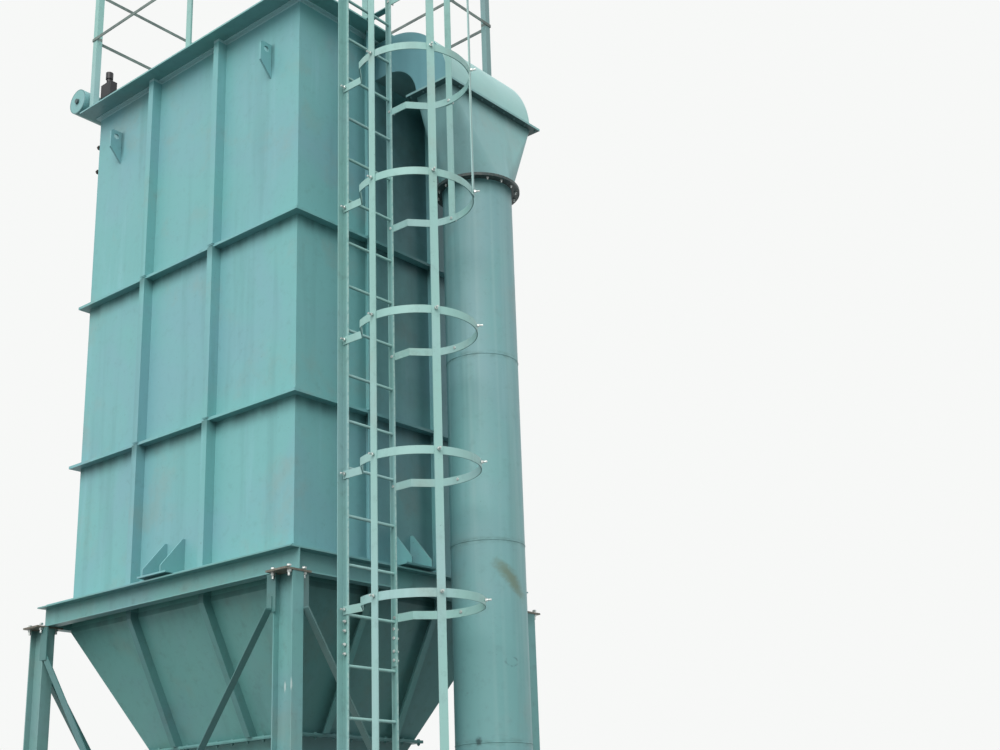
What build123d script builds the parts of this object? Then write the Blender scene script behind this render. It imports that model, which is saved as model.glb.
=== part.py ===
from build123d import *
from math import cos, radians, sin, sqrt
import os

os.makedirs("parts", exist_ok=True)

# Baghouse dust collector, millimetres. +X runs towards the ladder and the clean-air duct,
# +Y to the back, +Z up. The origin is the underside centre of the front right base plate.

# Casing: three bolted tiers of plate
casing_width = 2325
casing_depth = 1890
casing_wall = 5
lower_tier = 1021
middle_tier = 1258
upper_tier = 1629
tier_flange_reach = 61
tier_flange_thick = 10
top_flange_reach = 30
top_flange_thick = 8
base_flange_reach = 130

# Support frame
column_gap_x = 124
column_gap_y = 147
column_length = 3250
column_depth = 170
column_flange = 85
column_flange_thick = 9
column_web = 6
base_plate = 300
base_plate_thick = 20
anchor_spacing = 220
anchor_hole_radius = 11
cap_plate_x = 178
cap_plate_y = 205
cap_plate_thick = 12
beam_height = 150
beam_flange = 76
beam_flange_thick = 9
beam_web = 6
beam_reach_x = 170
beam_reach_y = 175

# Cross bracing of angle bars on gusset plates
brace_leg = 50
brace_thick = 6
gusset_thick = 8
gusset_lap = 28
top_gusset_reach = 50
top_gusset_height = 230
foot_gusset_reach = 100
foot_gusset_height = 260
brace_top_drop = 190
brace_top_inset = 10
brace_bottom_rise = 50
brace_bottom_inset = 60

# Hopper
hopper_wall = 6
hopper_slope = 2.027
hopper_collar = 185
hopper_joint_drop = 844
hopper_joint_reach = 50
hopper_flange_thick = 10
outlet_width = 735
gate_reach = 60
gate_frame_thick = 30
gate_plate_thick = 6
gate_plate_clearance = 0.3
gate_slot_reach = 15
gate_pull = 80
gate_grip = 45
gate_bolt_inset = 30
gate_bolt_radius = 7

# Stiffeners, lugs and wall brackets
stiffener_web = 75
stiffener_lip = 55
stiffener_thick = 6
stiffener_spacing_x = 765
stiffener_spacing_y = 630
rib_web = 60
rib_lip = 50
lug_from_corner = 291
lug_thick = 16
lug_reach = 100
lug_height = 262
lug_nose = 150
lug_shoulder = 15
lug_drop = 245
lug_eye_radius = 22
bracket_width = 300
bracket_reach = 190
bracket_height = 240
bracket_nose = 40
bracket_plate_thick = 12
bracket_gusset_spacing = 190
bracket_gusset_thick = 10

# Roof, hatches and guard rail
roof_reach = 157
roof_reach_left = 60
roof_thick = 12
hatch_width = 1500
hatch_depth = 760
hatch_offset = 100
hatch_spacing = 880
hatch_height = 45
hatch_lid_reach = 25
hatch_lid_thick = 6
hatch_handle_radius = 8
hatch_handle_width = 160
hatch_handle_height = 55
guard_outset_front = 62
guard_outset_right = 84
guard_outset_back = 17
guard_outset_left = 17
guard_post = 50
guard_thick = 6
guard_mid_height = 690
guard_height = 1130
rail_depth = 25
rail_thick = 6
gate_post_gap = 30

# Compressed-air header with its valves
header_radius = 103
header_wall = 6
header_offset = 158
header_lift = 154
header_overhang = 123
header_end_thick = 8
header_plug_radius = 20
header_plug_length = 14
saddle_thick = 12
saddle_count = 3
saddle_inset = 260
saddle_rise = 40
saddle_drop = 290
saddle_nose = 45
saddle_nose_height = 70
valve_count = 6
valve_from_end = 480
valve_stub_radius = 24
valve_stub_height = 36
valve_body_radius = 52
valve_body_height = 55
valve_cap_radius = 38
valve_cap_height = 30
blow_pipe_run = 190
blow_pipe_bend = 60
regulator_from_end = 165
regulator_offset = 175
regulator_width = 130
regulator_depth = 60
regulator_bottom = 36
regulator_height = 120
regulator_bowl_radius = 27
regulator_bowl_drop = 75
regulator_stem_radius = 22
regulator_stem_height = 44
regulator_knob_radius = 29
regulator_knob_height = 56
regulator_arm_rise = 60
regulator_arm_radius = 11

# Clean-air outlet: flat-sided elbow, square-to-round transition, round duct
elbow_inner_radius = 280
elbow_outer_radius = 573
elbow_width = 900
elbow_start = 726
elbow_spigot = 129
duct_wall = 4
elbow_top_gap = 24
elbow_skirt = 18
elbow_flange_reach = 52
elbow_flange_thick = 8
transition_height = 637
transition_corner = 3
duct_radius = 242
duct_flange_radius = 300
duct_flange_thick = 10
duct_bolt_circle = 272
duct_bolt_count = 12
duct_bolt_radius = 7
duct_end_height = 420
duct_leg = 60
duct_leg_thick = 8
duct_leg_circle = 350
duct_leg_height = 640
duct_leg_count = 4
duct_fin_height = 120
duct_fin_thick = 10
duct_foot_plate = 140
duct_foot_thick = 10

# Ladder and safety cage
ladder_standoff = 370
ladder_from_corner = 85.4
rung_length = 403
rung_radius = 10
rung_pitch = 300
first_rung = 312
stile_leg = 50
stile_thick = 6
stile_foot = 110
stile_foot_thick = 8
cage_centre_out = 418
cage_inner_radius = 368
cage_bar = 50
cage_bar_thick = 6
hoop_lap = 39
hoop_run = 129
hoop_flare_angle = 115
hoop_drops = (6352, 5457, 4628, 3758, 2848, 1971, 1097, 222)
lower_hoop_count = 4
long_strap_angles = (-91, -30)
short_strap_angles = (30, 93)
ladder_bracket_leg = 50
ladder_bracket_thick = 6
roof_bracket_lap = 100
ladder_stay_level = 1500

# Levels
column_top = base_plate_thick + column_length
beam_bottom = column_top + cap_plate_thick
beam_top = beam_bottom + beam_height
casing_bottom = beam_top + hopper_flange_thick
tier_levels = [casing_bottom, casing_bottom + lower_tier,
               casing_bottom + lower_tier + middle_tier,
               casing_bottom + lower_tier + middle_tier + upper_tier]
casing_top = tier_levels[3]
roof_top = casing_top + roof_thick

# Plan positions
span_x = casing_width + 2 * column_gap_x
span_y = casing_depth + 2 * column_gap_y
wall_right = -column_gap_x
wall_left = wall_right - casing_width
wall_front = column_gap_y
wall_back = wall_front + casing_depth
mid_x = (wall_left + wall_right) / 2
mid_y = (wall_front + wall_back) / 2
corners = {"front_right": (0, 0), "front_left": (-span_x, 0),
           "back_right": (0, span_y), "back_left": (-span_x, span_y)}

# Each wall as seen from outside: its centre, the direction to its left and its outward direction
walls = {"front": ((mid_x, wall_front), (-1, 0), (0, -1), stiffener_spacing_x),
         "right": ((wall_right, mid_y), (0, -1), (1, 0), stiffener_spacing_y),
         "back": ((mid_x, wall_back), (1, 0), (0, 1), stiffener_spacing_x),
         "left": ((wall_left, mid_y), (0, 1), (-1, 0), stiffener_spacing_y)}


def wall_plan(side, level):
    # Level plane on a wall: local x to the wall's left, local y outward
    centre, left, outward, spacing = walls[side]
    return Plane(origin=(*centre, level), x_dir=(*left, 0), z_dir=(0, 0, 1))


def wall_section(side, along):
    # Upright plane across a wall: local x outward, local y the height above the ground
    centre, left, outward, spacing = walls[side]
    foot = (centre[0] + along * left[0], centre[1] + along * left[1], 0)
    return Plane(origin=foot, x_dir=(*outward, 0), z_dir=(*left, 0))


def outline(plane, points):
    # Closed straight-sided face on a plane
    with BuildSketch(plane) as face:
        with BuildLine():
            Polyline(*points, close=True)
        make_face()
    return face.sketch


def bar(plane, x_low, x_high, y_low, y_high):
    # Rectangle between two corners on a plane
    return outline(plane, [(x_low, y_low), (x_high, y_low), (x_high, y_high), (x_low, y_high)])


# Columns: I-sections with flanges facing +X and -X, a base plate and a cap plate
for corner, (x, y) in corners.items():
    with BuildPart() as column:
        with BuildSketch(Plane.XY):
            with Locations((x, y)):
                Rectangle(base_plate, base_plate)
                with GridLocations(anchor_spacing, anchor_spacing, 2, 2):
                    Circle(anchor_hole_radius, mode=Mode.SUBTRACT)
        extrude(amount=base_plate_thick)
        with BuildSketch(Plane.XY.offset(base_plate_thick)):
            with Locations((x, y)):
                Rectangle(column_depth, column_flange)
                with GridLocations(1, (column_flange + column_web) / 2, 1, 2):
                    Rectangle(column_depth - 2 * column_flange_thick, (column_flange - column_web) / 2,
                              mode=Mode.SUBTRACT)
        extrude(amount=column_length)
        with BuildSketch(Plane.XY.offset(column_top)):
            with Locations((x, y)):
                Rectangle(cap_plate_x, cap_plate_y)
        extrude(amount=cap_plate_thick)
    column.part.label = f"column_{corner}"
    export_step(column.part, f"parts/column_{corner}.step")

# Ring beam of channels, toes outward: front and back run full length, the sides butt between
beam_right = wall_right + beam_reach_x
beam_left = wall_left - beam_reach_x
beam_front = wall_front - beam_reach_y
beam_back = wall_back + beam_reach_y
beam_middle = beam_bottom + beam_height / 2
beam_pocket = beam_height - 2 * beam_flange_thick
for side, toe, inward in (("front", beam_front, 1), ("back", beam_back, -1)):
    with BuildPart() as beam:
        with BuildSketch(Plane.YZ.offset(beam_left)):
            with Locations((toe + inward * beam_flange / 2, beam_middle)):
                Rectangle(beam_flange, beam_height)
            with Locations((toe + inward * (beam_flange - beam_web) / 2, beam_middle)):
                Rectangle(beam_flange - beam_web, beam_pocket, mode=Mode.SUBTRACT)
        extrude(amount=beam_right - beam_left)
    beam.part.label = f"beam_{side}"
    export_step(beam.part, f"parts/beam_{side}.step")
side_beam_back = beam_back - beam_flange
side_beam_length = side_beam_back - beam_front - beam_flange
for side, toe, inward in (("right", beam_right, -1), ("left", beam_left, 1)):
    with BuildPart() as beam:
        with BuildSketch(Plane.XZ.offset(-side_beam_back)):
            with Locations((toe + inward * beam_flange / 2, beam_middle)):
                Rectangle(beam_flange, beam_height)
            with Locations((toe + inward * (beam_flange - beam_web) / 2, beam_middle)):
                Rectangle(beam_flange - beam_web, beam_pocket, mode=Mode.SUBTRACT)
        extrude(amount=side_beam_length)
    beam.part.label = f"beam_{side}"
    export_step(beam.part, f"parts/beam_{side}.step")

# Cross bracing. Each side has a gusset plate at the top and bottom of both columns. One
# diagonal lies on the outer face of its two gussets, the other on the inner face of its own.
brace_top = column_top - brace_top_drop
brace_bottom = base_plate_thick + brace_bottom_rise
column_front_edge = column_flange / 2
flange_inner_face = column_depth / 2 - column_flange_thick


def brace_band(plane, hand, half_clear, near, far):
    # Strip along a diagonal between two distances above its centre line, square at the foot
    # and cut upright where it meets the column at the top
    clear_run = 2 * half_clear - brace_top_inset - brace_bottom_inset
    slope = (brace_top - brace_bottom) / clear_run
    cosine = 1 / sqrt(1 + slope ** 2)
    ends = []
    for edge in (near, far):
        foot_run = brace_bottom_inset - half_clear - edge * slope * cosine
        foot_rise = brace_bottom + edge * cosine
        ends.append((foot_run, foot_rise))
        ends.append((half_clear, foot_rise + (half_clear - foot_run) * slope))
    return outline(plane, [(hand * ends[place][0], ends[place][1]) for place in (0, 1, 3, 2)])


# Each side: middle of its outer gusset face, direction along it, outward direction, half the
# clear width between the columns, and which column the outer diagonal climbs to
brace_sides = {
    "front": (-span_x / 2, -column_front_edge - gusset_thick, (1, 0), (0, -1),
              span_x / 2 - column_depth / 2, 1),
    "back": (-span_x / 2, span_y + column_front_edge + gusset_thick, (-1, 0), (0, 1),
             span_x / 2 - column_depth / 2, 1),
    "right": (flange_inner_face, span_y / 2, (0, 1), (1, 0),
              span_y / 2 - column_flange / 2, -1),
    "left": (-span_x - flange_inner_face, span_y / 2, (0, -1), (-1, 0),
             span_y / 2 - column_flange / 2, 1)}
for side, (x, y, along, outward, half_clear, outer_hand) in brace_sides.items():
    upright = Plane(origin=(x, y, 0), x_dir=(*along, 0), z_dir=(*outward, 0))
    with BuildPart() as bracing:
        for hand, face, way in ((outer_hand, 0, 1), (-outer_hand, -gusset_thick, -1)):
            for end, reach, low, height in (
                    (hand, top_gusset_reach, column_top - top_gusset_height, top_gusset_height),
                    (-hand, foot_gusset_reach, base_plate_thick, foot_gusset_height)):
                extrude(bar(upright, end * (half_clear - reach), end * (half_clear + gusset_lap),
                            low, low + height), amount=-gusset_thick)
            rest = upright.offset(face)
            lower_edge = -brace_leg / 2
            extrude(brace_band(rest, hand, half_clear, lower_edge, brace_leg / 2),
                    amount=way * brace_thick)
            extrude(brace_band(rest, hand, half_clear, lower_edge, lower_edge + brace_thick),
                    amount=way * brace_leg)
    bracing.part.label = f"bracing_{side}"
    export_step(bracing.part, f"parts/bracing_{side}.step")

# Hopper: a vertical collar, then four plates at one slope, bolted across at mid height
slope_top = beam_top - hopper_collar
joint_level = slope_top - hopper_joint_drop
outlet_level = slope_top - hopper_slope * (casing_width - outlet_width) / 2
outlet_depth = outlet_width - (casing_width - casing_depth)
hopper_skin = hopper_wall * sqrt(1 + hopper_slope ** 2) / hopper_slope


def hopper_level(level, reach):
    # Level rectangle that stands out from the hopper's outer face by a reach, or in if negative
    taper = max(slope_top - level, 0) / hopper_slope
    with BuildSketch(Plane.XY.offset(level)) as section:
        with Locations((mid_x, mid_y)):
            Rectangle(casing_width + 2 * (reach - taper), casing_depth + 2 * (reach - taper))
    return section.sketch


with BuildPart() as hopper_upper:
    extrude(hopper_level(beam_top, base_flange_reach), amount=hopper_flange_thick)
    extrude(hopper_level(slope_top, 0), amount=hopper_collar)
    loft([hopper_level(slope_top, 0), hopper_level(joint_level, 0)])
    extrude(hopper_level(joint_level, hopper_joint_reach), amount=hopper_flange_thick)
    extrude(hopper_level(slope_top, -hopper_skin), amount=hopper_collar + hopper_flange_thick,
            mode=Mode.SUBTRACT)
    loft([hopper_level(slope_top, -hopper_skin), hopper_level(joint_level, -hopper_skin)],
         mode=Mode.SUBTRACT)
hopper_upper.part.label = "hopper_upper"
export_step(hopper_upper.part, "parts/hopper_upper.step")

gate_level = outlet_level - hopper_flange_thick
with BuildPart() as hopper_lower:
    loft([hopper_level(joint_level, 0), hopper_level(outlet_level, 0)])
    extrude(hopper_level(joint_level, hopper_joint_reach), amount=-hopper_flange_thick)
    with BuildSketch(Plane.XY.offset(gate_level)):
        with Locations((mid_x, mid_y)):
            Rectangle(outlet_width + 2 * gate_reach, outlet_depth + 2 * gate_reach)
    extrude(amount=hopper_flange_thick)
    loft([hopper_level(joint_level, -hopper_skin), hopper_level(outlet_level, -hopper_skin)],
         mode=Mode.SUBTRACT)
    with BuildSketch(Plane.XY.offset(gate_level)):
        with Locations((mid_x, mid_y)):
            Rectangle(outlet_width - 2 * hopper_skin, outlet_depth - 2 * hopper_skin)
            with GridLocations(outlet_width + 2 * (gate_reach - gate_bolt_inset),
                               outlet_depth + 2 * (gate_reach - gate_bolt_inset), 2, 2):
                Circle(gate_bolt_radius)
    extrude(amount=hopper_flange_thick, mode=Mode.SUBTRACT)
hopper_lower.part.label = "hopper_lower"
export_step(hopper_lower.part, "parts/hopper_lower.step")

# Slide gate, closed: a slotted frame under the outlet and the plate that runs out to the front
gate_bottom = gate_level - gate_frame_thick
slot_height = gate_plate_thick + gate_plate_clearance
slot_bottom = gate_bottom + (gate_frame_thick - slot_height) / 2
slot_half = outlet_width / 2 + gate_slot_reach
gate_front = mid_y - outlet_depth / 2 - gate_reach
slot_back = mid_y + outlet_depth / 2 + gate_slot_reach
with BuildPart() as gate_frame:
    with BuildSketch(Plane.XY.offset(gate_bottom)):
        with Locations((mid_x, mid_y)):
            Rectangle(outlet_width + 2 * gate_reach, outlet_depth + 2 * gate_reach)
            Rectangle(outlet_width - 2 * hopper_skin, outlet_depth - 2 * hopper_skin,
                      mode=Mode.SUBTRACT)
            with GridLocations(outlet_width + 2 * (gate_reach - gate_bolt_inset),
                               outlet_depth + 2 * (gate_reach - gate_bolt_inset), 2, 2):
                Circle(gate_bolt_radius, mode=Mode.SUBTRACT)
    extrude(amount=gate_frame_thick)
    extrude(bar(Plane.XY.offset(slot_bottom), mid_x - slot_half, mid_x + slot_half,
                gate_front, slot_back), amount=slot_height, mode=Mode.SUBTRACT)
gate_frame.part.label = "gate_frame"
export_step(gate_frame.part, "parts/gate_frame.step")

plate_half = slot_half - gate_plate_clearance
with BuildPart() as gate_plate:
    extrude(bar(Plane.XY.offset(slot_bottom), mid_x - plate_half, mid_x + plate_half,
                gate_front - gate_pull, slot_back - gate_plate_clearance),
            amount=gate_plate_thick)
    extrude(bar(Plane.XY.offset(slot_bottom), mid_x - plate_half, mid_x + plate_half,
                gate_front - gate_pull, gate_front - gate_pull + gate_plate_thick),
            amount=-gate_grip)
gate_plate.part.label = "gate_plate"
export_step(gate_plate.part, "parts/gate_plate.step")


# Casing: three tiers of plate with flanges all round, the top one open to the outlet elbow
def casing_ring(level, reach):
    # Level ring from inside the casing wall to a reach beyond it
    with BuildSketch(Plane.XY.offset(level)) as ring:
        with Locations((mid_x, mid_y)):
            Rectangle(casing_width + 2 * reach, casing_depth + 2 * reach)
            Rectangle(casing_width - 2 * casing_wall, casing_depth - 2 * casing_wall,
                      mode=Mode.SUBTRACT)
    return ring.sketch


elbow_front = wall_front + elbow_start
elbow_back = elbow_front + elbow_width
elbow_mid_y = (elbow_front + elbow_back) / 2
elbow_axis_x = wall_right + elbow_spigot
elbow_axis_z = casing_top - elbow_top_gap - elbow_outer_radius


def elbow_section(x, inset):
    # Upright rectangle of the elbow's mouth at a distance along X, inset all round
    return bar(Plane.YZ.offset(x), elbow_front + inset, elbow_back - inset,
               elbow_axis_z + elbow_inner_radius + inset,
               elbow_axis_z + elbow_outer_radius - inset)


for tier, low, high, foot_reach, head_reach, head_thick in (
        ("lower", tier_levels[0], tier_levels[1], base_flange_reach, tier_flange_reach,
         tier_flange_thick),
        ("middle", tier_levels[1], tier_levels[2], tier_flange_reach, tier_flange_reach,
         tier_flange_thick),
        ("upper", tier_levels[2], tier_levels[3], tier_flange_reach, top_flange_reach,
         top_flange_thick)):
    with BuildPart() as casing:
        extrude(casing_ring(low, 0), amount=high - low)
        extrude(casing_ring(low, foot_reach), amount=tier_flange_thick)
        extrude(casing_ring(high, head_reach), amount=-head_thick)
        if tier == "upper":
            extrude(elbow_section(wall_right, duct_wall), amount=-casing_wall,
                    mode=Mode.SUBTRACT)
    casing.part.label = f"casing_{tier}"
    export_step(casing.part, f"parts/casing_{tier}.step")

# Wall stiffeners: two upright angles on every tier of every wall, notched round the top flange
# and, on the right, cut off below the outlet elbow
with BuildPart() as wall_stiffeners:
    for side, (centre, left, outward, spacing) in walls.items():
        for low, high in zip(tier_levels[:-1], tier_levels[1:]):
            foot = low + tier_flange_thick
            head = high if high == casing_top else high - tier_flange_thick
            for along in (-spacing / 2, spacing / 2):
                profile = outline(wall_plan(side, foot), [
                    (along, 0), (along + stiffener_thick, 0),
                    (along + stiffener_thick, stiffener_web - stiffener_thick),
                    (along + stiffener_lip, stiffener_web - stiffener_thick),
                    (along + stiffener_lip, stiffener_web), (along, stiffener_web)])
                extrude(profile, amount=head - foot)
    extrude(casing_ring(casing_top, top_flange_reach), amount=-top_flange_thick,
            mode=Mode.SUBTRACT)
    extrude(bar(Plane.YZ.offset(wall_right), elbow_front, elbow_back,
                elbow_axis_z + elbow_inner_radius, casing_top),
            amount=stiffener_web, mode=Mode.SUBTRACT)
wall_stiffeners.part.label = "wall_stiffeners"
export_step(wall_stiffeners.part, "parts/wall_stiffeners.step")

# Hopper ribs: angles in line with the wall stiffeners, bent where the collar meets the slope
slope_cos = hopper_slope / sqrt(1 + hopper_slope ** 2)
rib_end = joint_level + hopper_flange_thick


def rib_band(plane, near, far):
    # Strip that follows the hopper face between two distances from it
    bend = (1 - slope_cos) / sqrt(1 - slope_cos ** 2)
    taper = (slope_top - rib_end) / hopper_slope
    return outline(plane, [
        (near, beam_top), (near, slope_top - near * bend), (near / slope_cos - taper, rib_end),
        (far / slope_cos - taper, rib_end), (far, slope_top - far * bend), (far, beam_top)])


with BuildPart() as hopper_ribs:
    for side, (centre, left, outward, spacing) in walls.items():
        for along in (-spacing / 2, spacing / 2):
            extrude(rib_band(wall_section(side, along), 0, rib_web), amount=stiffener_thick)
            extrude(rib_band(wall_section(side, along), rib_web - stiffener_thick, rib_web),
                    amount=rib_lip)
hopper_ribs.part.label = "hopper_ribs"
export_step(hopper_ribs.part, "parts/hopper_ribs.step")

# Lifting lugs, two on the front and two on the back
lug_top = casing_top - lug_drop
with BuildPart() as lifting_lugs:
    for side in ("front", "back"):
        for hand in (-1, 1):
            along = hand * (casing_width / 2 - lug_from_corner) - lug_thick / 2
            with BuildSketch(wall_section(side, along)) as lug:
                with BuildLine():
                    Polyline((0, lug_top), (lug_reach - lug_shoulder, lug_top),
                             (lug_reach, lug_top - lug_shoulder), (lug_reach, lug_top - lug_nose),
                             (0, lug_top - lug_height), close=True)
                make_face()
                with Locations((lug_reach / 2, lug_top - lug_reach / 2)):
                    Circle(lug_eye_radius, mode=Mode.SUBTRACT)
            extrude(lug.sketch, amount=lug_thick)
lifting_lugs.part.label = "lifting_lugs"
export_step(lifting_lugs.part, "parts/lifting_lugs.step")

# Wall brackets: a seat plate on the base flange with two gussets, in the middle of each wall
bracket_seat = casing_bottom + tier_flange_thick
with BuildPart() as wall_brackets:
    for side in walls:
        extrude(bar(wall_plan(side, bracket_seat), -bracket_width / 2, bracket_width / 2,
                    0, bracket_reach), amount=bracket_plate_thick)
        for along in (-bracket_gusset_spacing / 2, bracket_gusset_spacing / 2):
            low = bracket_seat + bracket_plate_thick
            gusset = outline(wall_section(side, along - bracket_gusset_thick / 2), [
                (0, low), (bracket_reach, low), (bracket_reach, low + bracket_nose),
                (bracket_nose / 2, low + bracket_height), (0, low + bracket_height)])
            extrude(gusset, amount=bracket_gusset_thick)
wall_brackets.part.label = "wall_brackets"
export_step(wall_brackets.part, "parts/wall_brackets.step")

# Roof plate: it overhangs three walls widely and the left one, beside the header, a little
roof_left = wall_left - roof_reach_left
roof_right = wall_right + roof_reach
with BuildPart() as roof_plate:
    extrude(bar(Plane.XY.offset(casing_top), roof_left, roof_right,
                wall_front - roof_reach, wall_back + roof_reach), amount=roof_thick)
roof_plate.part.label = "roof_plate"
export_step(roof_plate.part, "parts/roof_plate.step")

# Access hatches: a curb, a lid that laps over it and two bent rod handles, in two pairs
hatch_lid = roof_top + hatch_height
lid_top = hatch_lid + hatch_lid_thick
hatch_x = mid_x + hatch_offset
with BuildPart() as roof_hatches:
    for y in (mid_y - hatch_spacing / 2, mid_y + hatch_spacing / 2):
        extrude(bar(Plane.XY.offset(roof_top), hatch_x - hatch_width / 2, hatch_x + hatch_width / 2,
                    y - hatch_depth / 2, y + hatch_depth / 2), amount=hatch_height)
        extrude(bar(Plane.XY.offset(hatch_lid),
                    hatch_x - hatch_width / 2 - hatch_lid_reach,
                    hatch_x + hatch_width / 2 + hatch_lid_reach,
                    y - hatch_depth / 2 - hatch_lid_reach,
                    y + hatch_depth / 2 + hatch_lid_reach), amount=hatch_lid_thick)
        for x in (hatch_x - hatch_width / 4, hatch_x + hatch_width / 4):
            rise = lid_top + hatch_handle_height
            with BuildLine() as grip:
                FilletPolyline((x - hatch_handle_width / 2, y, lid_top),
                               (x - hatch_handle_width / 2, y, rise),
                               (x + hatch_handle_width / 2, y, rise),
                               (x + hatch_handle_width / 2, y, lid_top),
                               radius=2 * hatch_handle_radius)
            with BuildSketch(Plane(origin=grip.line @ 0, z_dir=grip.line % 0)) as rod:
                Circle(hatch_handle_radius)
            sweep(rod.sketch, path=grip.line)
roof_hatches.part.label = "roof_hatches"
export_step(roof_hatches.part, "parts/roof_hatches.step")

# Guard rail: angle posts with a middle rail and a top rail on their outer faces
guard_left_x = wall_left - guard_outset_left
guard_right_x = wall_right + guard_outset_right
guard_mid_x = (guard_left_x + guard_right_x) / 2
guard_front_y = wall_front - guard_outset_front
guard_back_y = wall_back + guard_outset_back
rail_levels = [roof_top + guard_mid_height - rail_depth, roof_top + guard_height - rail_depth]
rail_near = guard_post / 2


def guard_angle(x, y, side_x, side_y):
    # Angle post whose two legs face one way along X and one way along Y
    half = guard_post / 2
    with BuildSketch(Plane.XY.offset(roof_top)) as post:
        with Locations((x, y)):
            Rectangle(guard_post, guard_post)
        with Locations((x - side_x * guard_thick / 2, y - side_y * guard_thick / 2)):
            Rectangle(2 * half - guard_thick, 2 * half - guard_thick, mode=Mode.SUBTRACT)
    return post.sketch


for side, y, face, posts in (
        ("front", guard_front_y, -1,
         ((guard_left_x, 1, -1), (guard_mid_x, -1, -1), (guard_right_x, 1, -1))),
        ("back", guard_back_y, 1,
         ((guard_left_x, -1, 1), (guard_mid_x, -1, 1), (guard_right_x, 1, -1)))):
    with BuildPart() as guard:
        for x, side_x, side_y in posts:
            extrude(guard_angle(x, y, side_x, side_y), amount=guard_height)
        near = y + face * rail_near
        far = near + face * rail_thick
        for level in rail_levels:
            extrude(bar(Plane.XY.offset(level), guard_left_x - rail_near - rail_thick,
                        guard_right_x + rail_near + rail_thick, near, far), amount=rail_depth)
    guard.part.label = f"guard_{side}"
    export_step(guard.part, f"parts/guard_{side}.step")

ladder_plane = wall_right + ladder_standoff
ladder_front = wall_front + ladder_from_corner
ladder_back = ladder_front + rung_length
ladder_mid = (ladder_front + ladder_back) / 2
gate_post_y = ladder_back + stile_leg + gate_post_gap
rail_back_end = guard_back_y + rail_near
for side, x, face, rail_start, post_y in (
        ("left", guard_left_x, -1, guard_front_y - rail_near, mid_y),
        ("right", guard_right_x, 1, gate_post_y - guard_post / 2, gate_post_y)):
    with BuildPart() as guard:
        extrude(guard_angle(x, post_y, face, -1), amount=guard_height)
        near = x + face * rail_near
        far = near + face * rail_thick
        for level in rail_levels:
            extrude(bar(Plane.XY.offset(level), near, far, rail_start, rail_back_end),
                    amount=rail_depth)
    guard.part.label = f"guard_{side}"
    export_step(guard.part, f"parts/guard_{side}.step")

# Compressed-air header outside the left edge of the roof: tube, flat ends, saddle brackets
header_x = wall_left - header_offset
header_z = roof_top + header_lift
header_front = wall_front - header_overhang
header_back = wall_back + header_overhang
header_tube_front = header_front + header_end_thick
header_tube_back = header_back - header_end_thick
with BuildPart() as header_tank:
    with BuildSketch(Plane.XZ.offset(-header_tube_back)):
        with Locations((header_x, header_z)):
            Circle(header_radius)
            Circle(header_radius - header_wall, mode=Mode.SUBTRACT)
    extrude(amount=header_tube_back - header_tube_front)
header_tank.part.label = "header_tank"
export_step(header_tank.part, "parts/header_tank.step")

with BuildPart() as header_ends:
    for face, out in ((header_tube_front, 1), (header_tube_back, -1)):
        with BuildSketch(Plane.XZ.offset(-face)):
            with Locations((header_x, header_z)):
                Circle(header_radius)
        extrude(amount=out * header_end_thick)
        with BuildSketch(Plane.XZ.offset(-face + out * header_end_thick)):
            with Locations((header_x, header_z)):
                Circle(header_plug_radius)
        extrude(amount=out * header_plug_length)
header_ends.part.label = "header_ends"
export_step(header_ends.part, "parts/header_ends.step")

saddle_low = casing_top - saddle_drop
saddle_high = header_z - saddle_rise
flange_left = wall_left - top_flange_reach
saddle_pitch = (header_back - header_front - 2 * saddle_inset) / (saddle_count - 1)
with BuildPart() as header_saddles:
    for place in range(saddle_count):
        y = header_front + saddle_inset + place * saddle_pitch
        with BuildSketch(Plane.XZ.offset(-y - saddle_thick / 2)) as saddle:
            with BuildLine():
                Polyline((wall_left, saddle_low), (wall_left, casing_top - top_flange_thick),
                         (flange_left, casing_top - top_flange_thick), (flange_left, casing_top),
                         (roof_left, casing_top), (roof_left, saddle_high),
                         (header_x - saddle_nose, saddle_high),
                         (header_x - saddle_nose, saddle_high - saddle_nose_height), close=True)
            make_face()
            with Locations((header_x, header_z)):
                Circle(header_radius, mode=Mode.SUBTRACT)
        extrude(saddle.sketch, amount=saddle_thick)
header_saddles.part.label = "header_saddles"
export_step(header_saddles.part, "parts/header_saddles.step")

# Pulse valves on the header, each with a blow pipe that turns down to the roof
valve_pitch = (header_back - header_front - 2 * valve_from_end) / (valve_count - 1)
valve_places = [header_front + valve_from_end + place * valve_pitch for place in range(valve_count)]
valve_base = header_z + header_radius + valve_stub_height
valve_mid = valve_base + valve_body_height / 2
with BuildPart() as pulse_valves:
    for y in valve_places:
        for level, radius, height in (
                (header_z, valve_stub_radius, valve_base - header_z),
                (valve_base, valve_body_radius, valve_body_height),
                (valve_base + valve_body_height, valve_cap_radius, valve_cap_height)):
            with BuildSketch(Plane.XY.offset(level)):
                with Locations((header_x, y)):
                    Circle(radius)
            extrude(amount=height)
    with BuildSketch(Plane.XZ.offset(-header_back)):
        with Locations((header_x, header_z)):
            Circle(header_radius)
    extrude(amount=header_back - header_front, mode=Mode.SUBTRACT)
pulse_valves.part.label = "pulse_valves"
export_step(pulse_valves.part, "parts/pulse_valves.step")

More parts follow.
